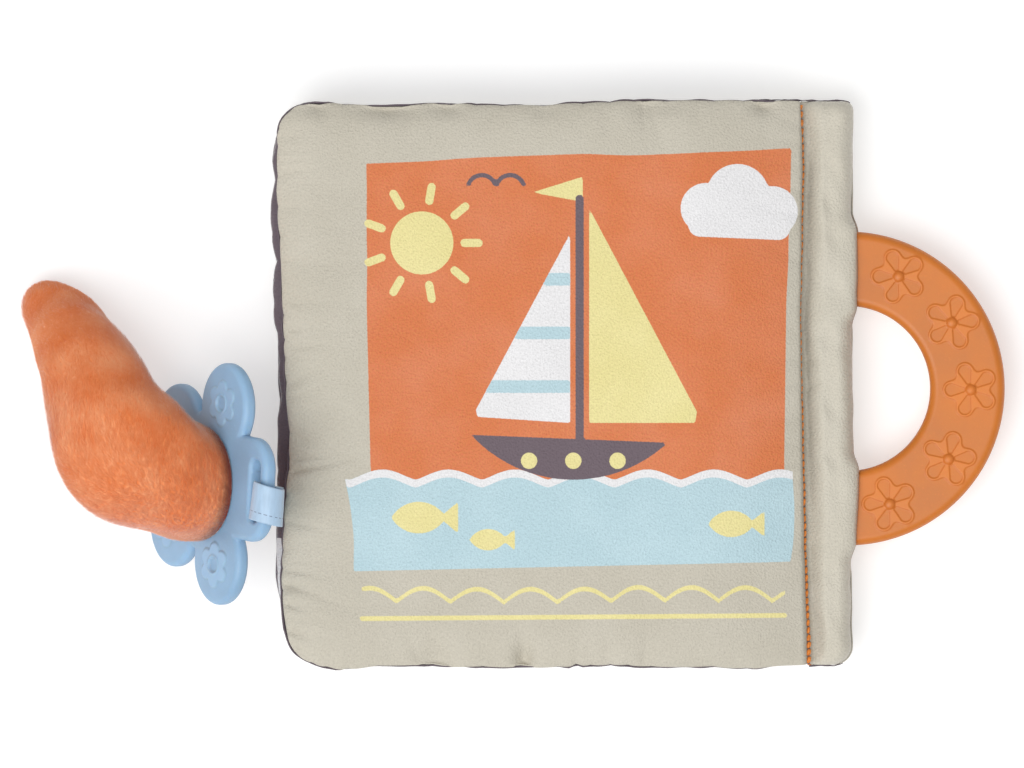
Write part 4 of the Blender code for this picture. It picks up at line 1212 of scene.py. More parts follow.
def build_leaves(leaves, plain, plum):
    """All eight panels of the four leaves."""
    front, back = leaves["front_cover"], leaves["back_cover"]
    printed = cloth_paint("printed_beige_cotton", BEIGE, COVER_INKS)
    nodes = ("front_cover_outer_panel", "front_cover_padding")
    build_panel(front, 1, "front_cover_cloth", nodes, printed, cover_prints, FINE_STEP)
    build_panel(front, -1, "front_lining_cloth", ("front_cover_lining",), plum)
    nodes = ("back_cover_outer_panel", "back_cover_padding")
    build_panel(back, -1, "back_cover_cloth", nodes, plain)
    build_panel(back, 1, "back_lining_cloth", ("back_cover_lining",), plum)
    for name in ("page_1", "page_2"):
        for side, face in ((1, "front"), (-1, "back")):
            inks, seed = PAGE_INKS, leaves[name].seed + side
            design = lambda x, y: page_prints(x, y, seed)
            if (name, face) == ("page_1", "front"):
                inks, design = (PRINT_WHITE, *EDGE_INKS), edge_prints
            paint = cloth_paint(f"{name}_{face}_cotton", PLUM, inks, PLUM_SHEEN)
            nodes = [f"{name}_{face}_panel"] + ([f"{name}_padding"] if face == "front" else [])
            build_panel(leaves[name], side, f"{name}_{face}_cloth", nodes, paint, design)


# Spine strip


def over_leg(place, handle):
    """1 over a leg of the handle and 0 away from it."""
    from_ring = np.abs(place - handle.centre.y)
    outside = np.maximum(np.maximum(HANDLE_INNER - from_ring, from_ring - handle.outer), 0)
    return 1 - smooth_step(outside / LEG_BLEND)


def strip_shares():
    """Shares of the strip's width from the stitches to its outer edge."""
    wall_steps, top_steps, side_steps = STRIP_STEPS
    wall = np.linspace(0, STRIP_WALL_SHARE, wall_steps)
    top = np.linspace(STRIP_WALL_SHARE, STRIP_TOP_SHARE, top_steps)[1:-1]
    side = 1 - (1 - STRIP_TOP_SHARE) * np.cos(np.linspace(0, math.pi / 2, side_steps))
    return np.concatenate([wall, top, side])


def strip_stop(place, leg, from_end, seed):
    """X of the strip's outer edge."""
    wander = sum(height * plane_noise(place / reach, 0, seed) for height, reach in STRIP_WANDER)
    corner = np.where(place > 0, *STRIP_CORNERS)
    return STRIP_EDGE_X + LEG_BULGE * leg + wander - corner * (1 - round_rise(from_end / corner))


def strip_folds(place, share, seed):
    """Soft lengthwise folds and short slanted creases of the strip."""
    across = share * STRIP_WIDTH
    wide, drift, reach, depth = LONG_FOLD
    folds = depth * plane_noise(across / wide + place / drift, place / reach, seed)
    wide, reach, slant, depth = SLANTED_FOLD
    folds += depth * plane_noise((across + slant * place) / wide, (place - slant * across) / reach, seed + 1)
    spacing, reach, depth, fade = STRIP_CREASE
    crease = (1 - hills(place, across, spacing, seed + 3)) * np.abs(plane_noise(place / reach, 0, seed + 5))
    return folds - depth * crease * np.exp(-share * fade)


def strip_pillow(place, share, start, leg, seed):
    """Height of the stuffed strip over the middle of the spine, with the valley beside its stitches."""
    edge = STRIP_SEAM + (LEG_HALF - STRIP_SEAM) * leg
    wall = smooth_step(share / STRIP_WALL_SHARE - STRIP_WALL_START)
    side = np.clip((share - STRIP_TOP_SHARE) / (1 - STRIP_TOP_SHARE), 0, 1)
    top = np.clip(1 - side**STRIP_SIDE_ROUND, 0, 1) ** 0.5
    level, swing, reach = STRIP_CREST
    rise = STRIP_RISE * (level + swing * plane_noise(place / reach, 0, seed + 4))
    low = STITCH_RISE - STITCH_SINK
    (tail, tail_blend), (head, head_blend) = VALLEY_SPAN
    deep = smooth_step((place + tail) / tail_blend) * smooth_step((head - place) / head_blend)
    from_row = share * (STRIP_EDGE_X - start)
    valley = np.exp(-(((from_row - VALLEY_MIDDLE) / VALLEY_HALF) ** 2))
    valley *= VALLEY_DEPTH * (VALLEY_SHALLOW + (1 - VALLEY_SHALLOW) * deep)
    return edge * (1 - top) + top * (low + (rise - low) * wall), valley


def build_strip(leaf, handle, plain):
    """The strip's front and back cloth, drawn over the legs of the handle."""
    rows = end_to_end(leaf.half, COARSE_STEP / 2)
    share, place = np.meshgrid(strip_shares(), rows, indexing="ij")
    leg = over_leg(place, handle)
    from_end = leaf.half - np.abs(place)
    end = round_rise(from_end / STRIP_END, STRIP_END_ROUND)
    closed = end + (1 - end) * (1 - smooth_step(share / CLOSED_REACH)) * CLOSED_SHARE
    bare = smooth_step(share / BARE_REACH) * np.sqrt(np.clip(1 - share**4, 0, 1))
    nodes = (("front", 1, ("spine_front_panel", "spine_padding")), ("back", -1, ("spine_back_panel",)))
    for name, side, replaced in nodes:
        seed = SEEDS["strip"] + side
        start = row_x(place) + STRIP_START
        x = start + share * (strip_stop(place, leg, from_end, seed) - start)
        pillow, valley = strip_pillow(place, share, start, leg, seed)
        height = STRIP_SEAM + (pillow - valley * end - STRIP_SEAM) * closed
        height = height + strip_folds(place, share, seed) * bare * end
        y = place * (1 - STRIP_TAIL_DRAW / leaf.half * (place < 0))
        points = np.stack([x, y, leaf.spine_z + side * height], -1)
        piece = new_piece(f"spine_{name}_cloth", points, grid_faces(*points.shape[:2], flip=side < 0), plain)
        set_places(piece, np.stack([x, place, 0 * x], -1))
        thicken(piece)
        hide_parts(*replaced)
        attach(piece, "spine")


def build_strip_ends(leaf, plum):
    """The plum seam allowance that shows at both ends of the strip."""
    steps, sides = TAPE_STEPS
    seed = SEEDS["tape"]
    (first, first_reach), (second, second_reach) = TAPE_WAVES
    turns = once_round(sides)
    tapes = []
    for end, start, stop in TAPES:
        xs = np.linspace(start, stop, steps)[:, None]
        wave = first * plane_noise(xs / first_reach, end, seed)
        wave += second * plane_noise(xs / second_reach, end, seed + 2)
        round_reach = STRIP_CORNERS[0 if end > 0 else 1]
        corner = round_reach * (1 - round_rise((STRIP_EDGE_X - xs) / round_reach))
        reach = leaf.half - (STRIP_TAIL_DRAW if end < 0 else 0)
        y = end * (reach + TAPE_REACH * (TAPE_SWAY[0] + TAPE_SWAY[1] * wave) - corner)
        level, swing, size = TAPE_SWELL
        radius = TAPE_RADIUS * (level + swing * plane_noise(xs / size, end, seed + 1))
        lift = STITCH_RISE * TAPE_LIFT * np.exp(-(((xs - ROW[1][-1]) / TAPE_LIFT_REACH) ** 2))
        z = leaf.spine_z + lift + TAPE_FLATTEN * radius * np.sin(turns)
        ring = np.stack([xs + 0 * turns, y + radius * np.cos(turns), z], -1)
        tapes.append(tube_piece(f"tape_{end}", ring, plum))
    piece = join(tapes, "strip_end_seams")
    set_places(piece, points_of(piece))
    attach(piece, "spine")


def build_tabs(plum):
    """The folded ends of the pages between the covers in the gutter."""
    low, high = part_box("page_tabs")
    middle, half = (low + high) / 2, (high - low) / 2
    steps, sides = TAB_STEPS
    place, turn = np.meshgrid(np.linspace(low.y, high.y, steps), once_round(sides), indexing="ij")
    across, up = (np.sign(part) * np.abs(part) ** 0.5 for part in (np.cos(turn), np.sin(turn)))
    fold = 1 - TAB_FOLD[0] * np.cos(2 * turn) ** TAB_FOLD[1]
    wave = 1 + TAB_WAVE[0] * plane_noise(place / TAB_WAVE[1], turn * 2, SEEDS["tabs"])
    x = middle.x + half.x * across * wave
    z = middle.z + TAB_SQUASH * half.z * up * fold * wave
    piece = tube_piece("page_tabs_cloth", np.stack([x, place, z], -1), plum)
    set_places(piece, np.stack([place, z, 0 * z], -1))
    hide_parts("page_tabs")
    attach(piece, "spine")


def build_stitching(leaf):
    """The plump orange stitches in the front and back gutters."""
    paint = thread_paint("orange_thread", THREAD_ORANGE)
    half, seed = leaf.half - ROW_END, SEEDS["stitches"]
    places = np.arange(-half, half, STITCH_STEP)[:, None]
    drift, drift_reach = STITCH_DRIFT
    count = (places + half) / STITCH_LENGTH + drift * plane_noise(places / drift_reach, 0, seed)
    share = count % 1
    lump = np.sin(math.pi * share)
    size = 1 + STITCH_SIZES[0] * plane_noise(np.floor(count) / STITCH_SIZES[1], 0, seed + 1)
    tack = smooth_step((np.abs(places) - (half - TACK_LENGTH)) / TACK_BLEND)
    swell = size * (1 + (TACK_SWELL - 1) * tack)
    waist, belly, power = STITCH_WAIST
    radius = STITCH_RADIUS * swell * (waist + belly * lump**power)
    turns = once_round(STITCH_SIDES)
    gap = 1 - smooth_step(lump / STITCH_GAP[0]) + STITCH_GAP[1] * np.clip(np.cos(turns), 0, 1) * (1 - lump)
    height = STITCH_RISE + STITCH_LIFT + STITCH_ARCH * lump + radius * np.sin(turns)
    x = row_x(places) + STITCH_SLANT * swell * (share - 0.5) + radius * np.cos(turns)
    for name, side in (("front", 1), ("back", -1)):
        rings = np.stack([x, places + 0 * turns, leaf.spine_z + side * height], -1)
        piece = tube_piece(f"gutter_thread_{name}", rings, paint)
        set_places(piece, rings)
        set_numbers(piece, "gap", np.clip(gap, 0, 1))
        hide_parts(f"gutter_stitching_{name}")
        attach(piece, "spine")


# Handle


def handle_sizes():
    """The ring's centre, its outer radius and where its bar is, from the CAD handle."""
    low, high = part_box("teether_handle")
    outer = (high.y - low.y) / 2
    centre = Vector((high.x - outer, (low.y + high.y) / 2, low.z + HANDLE_HALF))
    return SimpleNamespace(centre=centre, outer=outer, bar=low.x - centre.x)


def handle_pairs(handle):
    """Matching points of the handle's inner and outer outlines, once round, from its centre."""
    rays = [ray(angle) for angle in np.linspace(-math.pi / 2, math.pi / 2, HANDLE_STEPS)]
    pairs = [(HANDLE_INNER * out, handle.outer * out) for out in rays]
    for side in (1, -1):
        corner = []
        for turn in np.linspace(0, math.pi / 2, HANDLE_ROUND_STEPS):
            x = handle.bar + BAR_CORNER * (1 - math.sin(turn))
            y = side * (handle.outer - BAR_CORNER * (1 - math.cos(turn)))
            near = np.array((min(handle.bar + BAR_WIDTH, 0), side * HANDLE_INNER))
            corner.append((near, np.array((x, y))))
        pairs += corner[::side]
    return pairs


def soft_union(first, second):
    """Two shapes together, with a small fillet between them."""
    share = np.clip(0.5 + 0.5 * (second - first) / BLOSSOM_FILLET, 0, 1)
    return second + (first - second) * share - BLOSSOM_FILLET * share * (1 - share)


def blossom(x, y, centre, turn):
    """A moulded flower: its height, with a rim and spokes round five sunk drops and a bead."""
    x, y = x - centre[0], y - centre[1]
    lobe = BLOSSOM_RADIUS * BLOSSOM_PETAL_SHARE
    reach = BLOSSOM_RADIUS - lobe
    distance = np.hypot(x, y)
    whole, drops = distance - BLOSSOM_RADIUS * BLOSSOM_WEB_SHARE, np.full(x.shape, np.inf)
    for petal in once_round(PETALS):
        out = ray(turn + petal)
        whole = soft_union(whole, disc(x, y, reach * out, lobe))
        along = np.clip((x * out[0] + y * out[1] - DROP_START) / (reach - DROP_START), 0, 1)
        middle = DROP_START + along * (reach - DROP_START)
        width = DROP_TIP + (lobe - BLOSSOM_RIM - DROP_TIP) * along
        drops = np.minimum(drops, np.hypot(x - out[0] * middle, y - out[1] * middle) - width)
    raised = smooth_step(0.5 - whole / BLOSSOM_FLANK) * smooth_step(0.5 + drops / BLOSSOM_FLANK)
    raised = np.maximum(BLOSSOM_RELIEF * raised, DOME_RELIEF * dome(distance, DOME_RADIUS))
    return raised + BEAD_RELIEF * dome(distance, BEAD_RADIUS)


def handle_section(width):
    """Places across a rounded bar with their heights: over the top, then back below."""
    turns = np.linspace(0, math.pi / 2, HANDLE_ROUND_STEPS)
    reach = width / 2 - HANDLE_ROUND
    edge = HANDLE_HALF - HANDLE_ROUND
    right = [(reach + HANDLE_ROUND * math.sin(a), edge + HANDLE_ROUND * math.cos(a)) for a in turns]
    top, low = (np.linspace(-reach, reach, steps)[1:-1] for steps in (HANDLE_TOP_STEPS, HANDLE_LOW_STEPS))
    upper = [(-x, z) for x, z in reversed(right)] + [(x, HANDLE_HALF) for x in top] + right
    lower = [(x, -z) for x, z in reversed(right)] + [(x, -HANDLE_HALF) for x in low[::-1]]
    return upper + lower + [(-x, -z) for x, z in right]


def build_handle(handle):
    """The orange ring with its five moulded flowers."""
    paint = silicone_paint("orange_silicone", HANDLE_ORANGE, HANDLE_ROUGHNESS)
    rings = []
    for inner, outer in handle_pairs(handle):
        width = np.linalg.norm(outer - inner)
        middle, across = (outer + inner) / 2, (outer - inner) / width
        rings.append([(*(middle + across * share), z) for share, z in handle_section(width)])
    x, y, z = np.moveaxis(np.array(rings), -1, 0)
    relief = np.zeros(x.shape)
    for angle, turn in zip(np.radians(BLOSSOM_ANGLES), np.radians(BLOSSOM_TURNS)):
        relief = np.maximum(relief, blossom(x, y, BLOSSOM_REACH * ray(angle), turn))
    z = z + np.where(z > HANDLE_HALF - BLOSSOM_LEVEL, relief, 0)
    slope = np.hypot(*np.gradient(relief))
    points = np.stack([x, y, z], -1) + np.array(handle.centre)
    piece = new_piece("ring_handle", points, grid_faces(*x.shape, closed=True), paint)
    face_out(piece)
    # Painted shade on the slopes of the flowers
    set_numbers(piece, "groove", np.clip(slope / GROOVE_SLOPE, 0, 1))
    # Painted highlight on the flowers' flat raised tops
    set_numbers(piece, "crest", np.clip(relief / BLOSSOM_RELIEF, 0, 1) * (slope < CREST_SLOPE))
    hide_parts("teether_handle")
    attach(piece, "spine")


# Flower teether


def teether_frame(frame):
    """The place of its loop's bar, the flower's own axes there, and its hub."""
    outwards = Vector((-math.sin(TEETHER_TILT), 0, math.cos(TEETHER_TILT)))
    loopwards = Vector((math.cos(TEETHER_TILT), 0, math.sin(TEETHER_TILT)))
    turn = Matrix((loopwards, outwards.cross(loopwards), outwards)).transposed().to_4x4()
    turn = turn @ Matrix.Rotation(TEETHER_SPIN, 4, "Z")
    bar_place = joint_place(frame, "teether_swing")
    hub = Matrix.Translation(bar_place) @ turn @ Matrix.Translation((-(LOOP_REACH - LOOP_BAR / 2), 0, 0))
    return bar_place, turn, hub


def circle_hit(centre, radius, out):
    """How far a ray from the middle runs to the far side of a circle, or 0 past it."""
    along = centre.dot(out)
    inside = along**2 - centre.length_squared + radius**2
    return along + math.sqrt(inside) if inside > 0 and along > 0 else 0


def loop_hit(out):
    """How far a ray runs to the edge of the loop lobe, a rounded box about +X."""
    if out.x <= 0:
        return 0
    corner = Vector((LOOP_REACH - LOOP_CORNER, LOOP_HALF_HEIGHT - LOOP_CORNER))
    side = abs(out.y)
    if LOOP_REACH * side <= corner.y * out.x:
        return LOOP_REACH / out.x
    if LOOP_HALF_HEIGHT * out.x <= corner.x * side:
        return LOOP_HALF_HEIGHT / side
    return circle_hit(corner, LOOP_CORNER, Vector((out.x, side)))


def petals():
    """Directions of the four petals without the loop."""
    return [Vector(ray(turn)) for turn in once_round(PETALS)[1:]]


def plate_reach(angle):
    """The flower's edge from its middle at an angle."""
    out = Vector(ray(angle))
    hits = [circle_hit(PETAL_CENTRE * petal, PETAL_RADIUS, out) for petal in petals()]
    return max(PLATE_HUB, loop_hit(out), *hits)


def plate_depth(x, y):
    """How far points lie inside the flower's edge, with its notches softened."""
    shapes = [-disc(x, y, (0, 0), PLATE_HUB)]
    shapes += [-disc(x, y, PETAL_CENTRE * np.array(petal), PETAL_RADIUS) for petal in petals()]
    ax, ay = x - (LOOP_REACH - LOOP_CORNER), np.abs(y) - (LOOP_HALF_HEIGHT - LOOP_CORNER)
    outside = np.hypot(np.maximum(ax, 0), np.maximum(ay, 0))
    shapes.append(LOOP_CORNER - outside - np.minimum(np.maximum(ax, ay), 0))
    return NOTCH * np.log(sum(np.exp(np.clip(shape / NOTCH, -NOTCH_LIMIT, NOTCH_LIMIT)) for shape in shapes))


def daisy(x, y, centre):
    """Height of a small raised daisy with a ring round its sunk middle."""
    x, y = (x - centre[0]) / DAISY_STRETCH, y - centre[1]
    lobe = DAISY_RADIUS * DAISY_LOBE_SHARE
    shape = disc(x, y, (0, 0), DAISY_RADIUS * DAISY_BODY_SHARE)
    for turn in once_round(DAISY_LOBES) + math.pi / DAISY_LOBES:
        shape = np.minimum(shape, disc(x, y, (DAISY_RADIUS - lobe) * ray(turn), lobe))
    distance = np.hypot(x, y)
    ring = DAISY_RING_RELIEF * np.exp(-(((distance - DAISY_RING) / (DAISY_RING_WIDTH / 2)) ** 2))
    well = DAISY_WELL * smooth_step((DAISY_RING - distance) / DAISY_FLANK)
    return DAISY_RELIEF * smooth_step(0.5 - shape / DAISY_FLANK) + ring - well


def daisies(x, y):
    """Height of the four daisies over the flower's front."""
    return sum(daisy(x, y, DAISY_REACH * petal) for petal in petals())


def plate_surface(x, y):
    """Height of the flower's plain faces over its middle plane."""
    depth = plate_depth(x, y)
    height = PLATE_HALF - PLATE_ROUND - PLATE_CROWN
    height = height + PLATE_ROUND * round_rise(np.clip(depth, 0, None) / PLATE_ROUND)
    height = height + PLATE_CROWN * smooth_step(depth / PLATE_CROWN_REACH)
    slot = bar(x, y, (SLOT_MIDDLE, -SLOT_RUN), (SLOT_MIDDLE, SLOT_RUN), SLOT_WIDTH / 2)
    height = height - SLOT_ROUND * (1 - round_rise(np.clip(slot, 0, None) / SLOT_ROUND))
    share, reach = PLATE_HOLE_ROUND
    hole = round_rise(np.clip(disc(x, y, (0, 0), PLATE_HOLE), 0, None) / reach)
    return height * (1 - share + share * hole)


def build_plate(frame):
    """The blue flower teether, with its slot cut through."""
    paint = silicone_paint("blue_silicone", TEETHER_BLUE, TEETHER_ROUGHNESS)
    _, _, hub = teether_frame(frame)
    steps, sides = PLATE_STEPS
    shares = 1 - (1 - np.linspace(0, 1, steps)) ** PLATE_CROWDING
    share, turn = np.meshgrid(shares, once_round(sides), indexing="ij")
    reach = np.array([plate_reach(angle) for angle in once_round(sides)])
    length = PLATE_HOLE + share * (reach - PLATE_HOLE)
    x, y = length * np.cos(turn), length * np.sin(turn)
    surface, relief = plate_surface(x, y), daisies(x, y)
    low = np.stack([x, y, -surface], -1)[::-1]
    points = np.concatenate([np.stack([x, y, surface + relief], -1), low[1:]])
    piece = new_piece("flower_plate", points, grid_faces(*points.shape[:2], closed=True), paint)
    face_out(piece)
    slope = np.hypot(*np.gradient(relief))
    level = np.zeros(low[1:].shape[:2])
    # Painted highlight on the daisies' raised tops
    crest = DAISY_PAINTED_HIGHLIGHT * np.clip(relief / DAISY_RELIEF, 0, 1)
    # Painted shade on the slopes of the daisies
    groove = DAISY_PAINTED_SHADE * np.clip(slope / GROOVE_SLOPE, 0, 1)
    set_numbers(piece, "crest", np.concatenate([crest, level]))
    set_numbers(piece, "groove", np.concatenate([groove, level]))
    put(piece, hub)
    cut_slot(piece, hub)
    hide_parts("flower_teether")
    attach(piece, "teether")


def cut_slot(piece, hub):
    """Cut the ribbon's slot through the loop lobe."""
    ring = []
    for side in (1, -1):
        for turn in np.linspace(0, math.pi, SLOT_STEPS):
            out = side * SLOT_WIDTH / 2 * ray(turn)
            ring.append((SLOT_MIDDLE + out[0], side * SLOT_RUN + out[1]))
    rings = [[(*place, z) for place in ring] for z in (-2 * PLATE_HALF, 2 * PLATE_HALF)]
    cutter = tube_piece("slot_cutter", rings, piece.data.materials[0])
    put(cutter, hub)
    boolean = piece.modifiers.new("slot", "BOOLEAN")
    boolean.object = cutter
    boolean.operation = "DIFFERENCE"
    boolean.solver = "EXACT"
    bake_modifiers(piece)
    bpy.data.objects.remove(cutter)


# Ribbon


def ribbon_line(foot):
    """The ribbon's middle line from its foot, round the bar and back, and how far along it is."""
    steps, loop_steps, _ = RIBBON_STEPS
    flat = Vector((foot.x, foot.z))
    tail = flat.normalized()
    side = Vector((-tail.y, tail.x))
    aside = side * RIBBON_LAYER * RIBBON_GAP_SHARE
    shares = np.linspace(1, RIBBON_TAIL_START, steps)
    line = [tail * (share * flat.length) + aside for share in shares]
    for angle in np.linspace(RIBBON_LOOP_GAP, math.tau - RIBBON_LOOP_GAP, loop_steps):
        line.append(RIBBON_LOOP * (math.cos(angle) * tail + math.sin(angle) * side))
    line += [tail * (share * flat.length) - aside for share in shares[::-1]]
    line = relax(np.array(line), 3)
    travel = np.concatenate([[0], np.cumsum(np.linalg.norm(np.diff(line, axis=0), axis=1))])
    return line, travel


def build_ribbon(frame):
    """The satin ribbon: doubled from the seam, with a loop round the teether's bar."""
    paint = satin_paint("pale_satin", SATIN_BLUE)
    bar_place, turn, _ = teether_frame(frame)
    seam = joint_place(frame, "ribbon_swing")
    axes = turn.to_3x3()
    eye = bar_place - axes @ Vector((0, RIBBON_SLIDE, 0))
    line, travel = ribbon_line(axes.inverted() @ (seam - Vector((0, 0, SEAM_LAYER)) - eye))
    ahead = np.gradient(line, axis=0)
    ahead /= np.linalg.norm(ahead, axis=1)[:, None]
    hem = RIBBON_HEM / RIBBON_WIDTH - 0.5
    near_hem = hem + np.linspace(-HEM_STEPS[0], HEM_STEPS[0], HEM_STEPS[1])
    across = np.unique(np.concatenate([np.linspace(-0.5, 0.5, RIBBON_STEPS[2]), near_hem]))
    across = np.concatenate([across, across[::-1]])
    out = np.repeat((RIBBON_LAYER / 2, -RIBBON_LAYER / 2), len(across) // 2)
    thinner, start, blend = RIBBON_EDGE
    out = out * (1 - thinner * smooth_step((np.abs(across) - start) / blend))
    height, reach, tilt = RIBBON_WAVE
    out = out + height * plane_noise(travel[:, None] / reach, across * tilt, SEEDS["ribbon"])
    place = across * RIBBON_WIDTH
    in_plane = (line[:, :1] + ahead[:, 1:] * out, place + 0 * out, line[:, 1:] - ahead[:, :1] * out)
    x, y, z = np.moveaxis(np.stack(in_plane, -1) @ np.array(axes).T + np.array(eye), -1, 0)
    y = y - RIBBON_SLANT * (x - eye.x + RIBBON_LOOP) - RIBBON_DROP * np.maximum(eye.z - z, 0)
    x = x + RIBBON_LEAN * place * np.clip((seam.x - x) / RIBBON_WIDTH, 0, 1)
    piece = tube_piece("satin_ribbon", np.stack([x, y, z], -1), paint)
    run = travel[:, None] + 0 * place
    set_places(piece, np.stack([run, place + 0 * run, 0 * run], -1))
    set_numbers(piece, "hem", (np.abs(across - hem) < HEM_HALF) & (run % HEM_PITCH < HEM_DASH))
    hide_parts("ribbon_loop")
    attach(piece, "ribbon")


# Pod


def pod_path():
    """Middles and radii along the pod, from its seat to its tip, on a smooth curve."""
    seat = (0, POD_REACH * POD_SEAT_SHIFT_SHARE, PLATE_HALF + POD_SEAT_GAP, POD_RADIUS * POD_SEAT_SHARE)
    sizes = np.array((POD_REACH, POD_REACH, POD_REACH, POD_RADIUS))
    places = np.array([seat, *(sizes * shares for shares in POD_AXIS_SHARES)])
    padded = np.concatenate([places[:1], places, places[-1:]])
    path = []
    for around in zip(padded, padded[1:], padded[2:], padded[3:]):
        path += [smooth_between(around, step / POD_STEPS) for step in range(POD_STEPS)]
    return path + [places[-1]]


def smooth_between(around, share):
    """A point of the smooth curve from the second to the third of four points."""
    before, start, end, after = around
    entry, leave = (end - before) / 2, (after - start) / 2
    square, cube = share**2, share**3
    start_weight = 2 * cube - 3 * square + 1
    entry_weight = cube - 2 * square + share
    return start_weight * start + entry_weight * entry + (1 - start_weight) * end + (cube - square) * leave


def ring_about(middle, direction, radius):
    """A round ring of points square to a direction."""
    across = Vector((1, 0, 0))
    across = (across - across.dot(direction) * direction).normalized()
    up = direction.cross(across)
    turns = once_round(POD_SIDES)[:, None]
    ring = np.array(middle) + radius * (np.cos(turns) * np.array(across) + np.sin(turns) * np.array(up))
    away = np.linalg.norm(ring - POD_HEEL, axis=1, keepdims=True) / POD_HEEL_SPREAD
    return ring + np.exp(-(away**2) / 2) * POD_HEEL_RISE


def pod_rings():
    """Fine rings along the bent pod and over its round tip, about the flower's hub."""
    path = pod_path()
    tipward = Vector(path[-1][:3] - path[-1 - POD_STEPS][:3]).normalized()
    rings = []
    for i, place in enumerate(path):
        lean = float(smooth_step(i / POD_STEPS / POD_LEAN_STATIONS))
        direction = Vector((0, 0, 1)).slerp(tipward, lean)
        rings.append(ring_about(Vector(place[:3]), direction, place[3]))
    for angle in np.linspace(0, math.pi / 2, POD_TIP_RINGS + 1)[1:]:
        middle = Vector(place[:3]) + direction * place[3] * math.sin(angle)
        rings.append(ring_about(middle, direction, max(place[3] * math.cos(angle), POD_TIP_RADIUS)))
    middle = rings[0].mean(axis=0)
    closing = [middle + (rings[0] - middle) * share for share in POD_BASE_SHARES]
    rings = np.array(closing + rings)
    index = np.arange(len(rings))[:, None, None]
    first, last, blend = POD_RELAX_RINGS
    share = smooth_step((index - first) / blend) * smooth_step((len(rings) - last - index) / blend)
    return rings + (relax(rings, POD_RELAX) - rings) * share


def patchy(points, sizes, seed):
    """Noise over a bent surface, in patches of sizes along X, Y and Z."""
    x_size, y_size, z_size = sizes
    return plane_noise(points[:, 0] / x_size + points[:, 2] / z_size, points[:, 1] / y_size, seed)


def build_pod(frame):
    """The plush pod with its pile."""
    _, _, hub = teether_frame(frame)
    rings = pod_rings()
    skin = tube_piece("plush_pod", rings, plush_paint("orange_plush", False))
    normals = np.array([vert.normal for vert in skin.data.vertices])
    points = points_of(skin)
    run = np.repeat(np.arange(len(rings)) / len(rings), POD_SIDES)
    lumps = patchy(points, POD_LUMP_SIZE, SEEDS["lumps"])
    lumps *= smooth_step(run / POD_LUMP_ENDS[0]) * smooth_step((1 - run) / POD_LUMP_ENDS[1])
    points = points + normals * (POD_LUMP * lumps)[:, None]
    for vert, place in zip(skin.data.vertices, points):
        vert.co = place
    set_places(skin, points)
    # Painted shade where the skin meets the flower
    set_numbers(skin, "seat", painted_seat_shade(points))
    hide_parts("pod_skin", "pod_stuffing")
    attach(skin, "pod")
    build_pile(skin, hub)
    put(skin, hub)
    build_stem(hub)


def unit(rows):
    """Rows of numbers, each made one long."""
    return rows / (np.linalg.norm(rows, axis=1)[:, None] + TINY)


def along_skin(rows, normals):
    """What is left of directions when they are laid flat on the skin."""
    return rows - (rows * normals).sum(1)[:, None] * normals


def build_pile(skin, hub):
    """Short leaning strands over the pod."""
    skin.data.calc_loop_triangles()
    points = points_of(skin)
    triangles = np.array([triangle.vertices for triangle in skin.data.loop_triangles])
    corners = points[triangles]
    crosses = np.cross(corners[:, 1] - corners[:, 0], corners[:, 2] - corners[:, 0])
    sizes = np.linalg.norm(crosses, axis=1)
    random = np.random.default_rng(SEEDS["pile"])
    weights = sizes * (corners.mean(axis=1)[:, 2] > PLATE_HALF + POD_SEAT_GAP + PILE_START)
    chosen = random.choice(len(sizes), PILE_COUNT, p=weights / weights.sum())
    a, b = random.random((2, PILE_COUNT, 1))
    a, b = np.where(a + b > 1, 1 - a, a), np.where(a + b > 1, 1 - b, b)
    base = corners[chosen]
    roots = base[:, 0] + a * (base[:, 1] - base[:, 0]) + b * (base[:, 2] - base[:, 0])
    normals = crosses[chosen] / sizes[chosen][:, None]
    ahead = np.gradient(points.reshape(-1, POD_SIDES, 3).mean(axis=1), axis=0)
    ahead = (unit(ahead) * NAP_ALONG + NAP_ACROSS)[triangles[chosen, 0] // POD_SIDES]
    nap = nap_direction(roots, normals, ahead) + random.normal(0, PILE_SWIRL, (PILE_COUNT, 3))
    nap = unit(along_skin(nap, normals))
    length = PILE_LENGTH * random.uniform(*PILE_LENGTHS, (PILE_COUNT, 1))
    across = np.cross(normals, nap) * PILE_WIDTH / 2
    rise, lean, narrow = PILE_MIDDLE
    middle = roots + (normals * rise + nap * lean) * length
    tip = roots + (normals * PILE_TIP[0] + nap * PILE_TIP[1]) * length
    strand = [roots - across, roots + across, middle + across * narrow, middle - across * narrow, tip]
    first = np.arange(PILE_COUNT)[:, None] * len(strand)
    faces = (first + (0, 1, 2, 3)).tolist() + (first + (3, 2, 4)).tolist()
    piece = new_piece("pod_pile", np.stack(strand, 1), faces, plush_paint("orange_pile", True))
    places = np.repeat(roots, len(strand), axis=0)
    set_places(piece, places)
    tones = PILE_TONES * random.uniform(*PILE_TONE_SPREAD, (PILE_COUNT, 1))
    # Painted shade: tips made darker close to the flower
    low = smooth_step((roots[:, 2:] - PLATE_HALF) / PILE_PAINTED_SHADE_REACH)
    set_numbers(piece, "tip", tones * (PILE_PAINTED_SHADE_TONE + (1 - PILE_PAINTED_SHADE_TONE) * low))
    # Painted shade where the pile meets the flower
    set_numbers(piece, "seat", painted_seat_shade(places))
    put(piece, hub)
    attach(piece, "pod")


def painted_seat_shade(points):
    """Painted shade on the pile where it presses against the flower, on the loop's side."""
    low = 1 - smooth_step((points[:, 2] - PLATE_HALF) / SEAT_SHADE_REACH)
    return low * smooth_step((points[:, 0] - SEAT_SHADE_START) / SEAT_SHADE_BLEND)


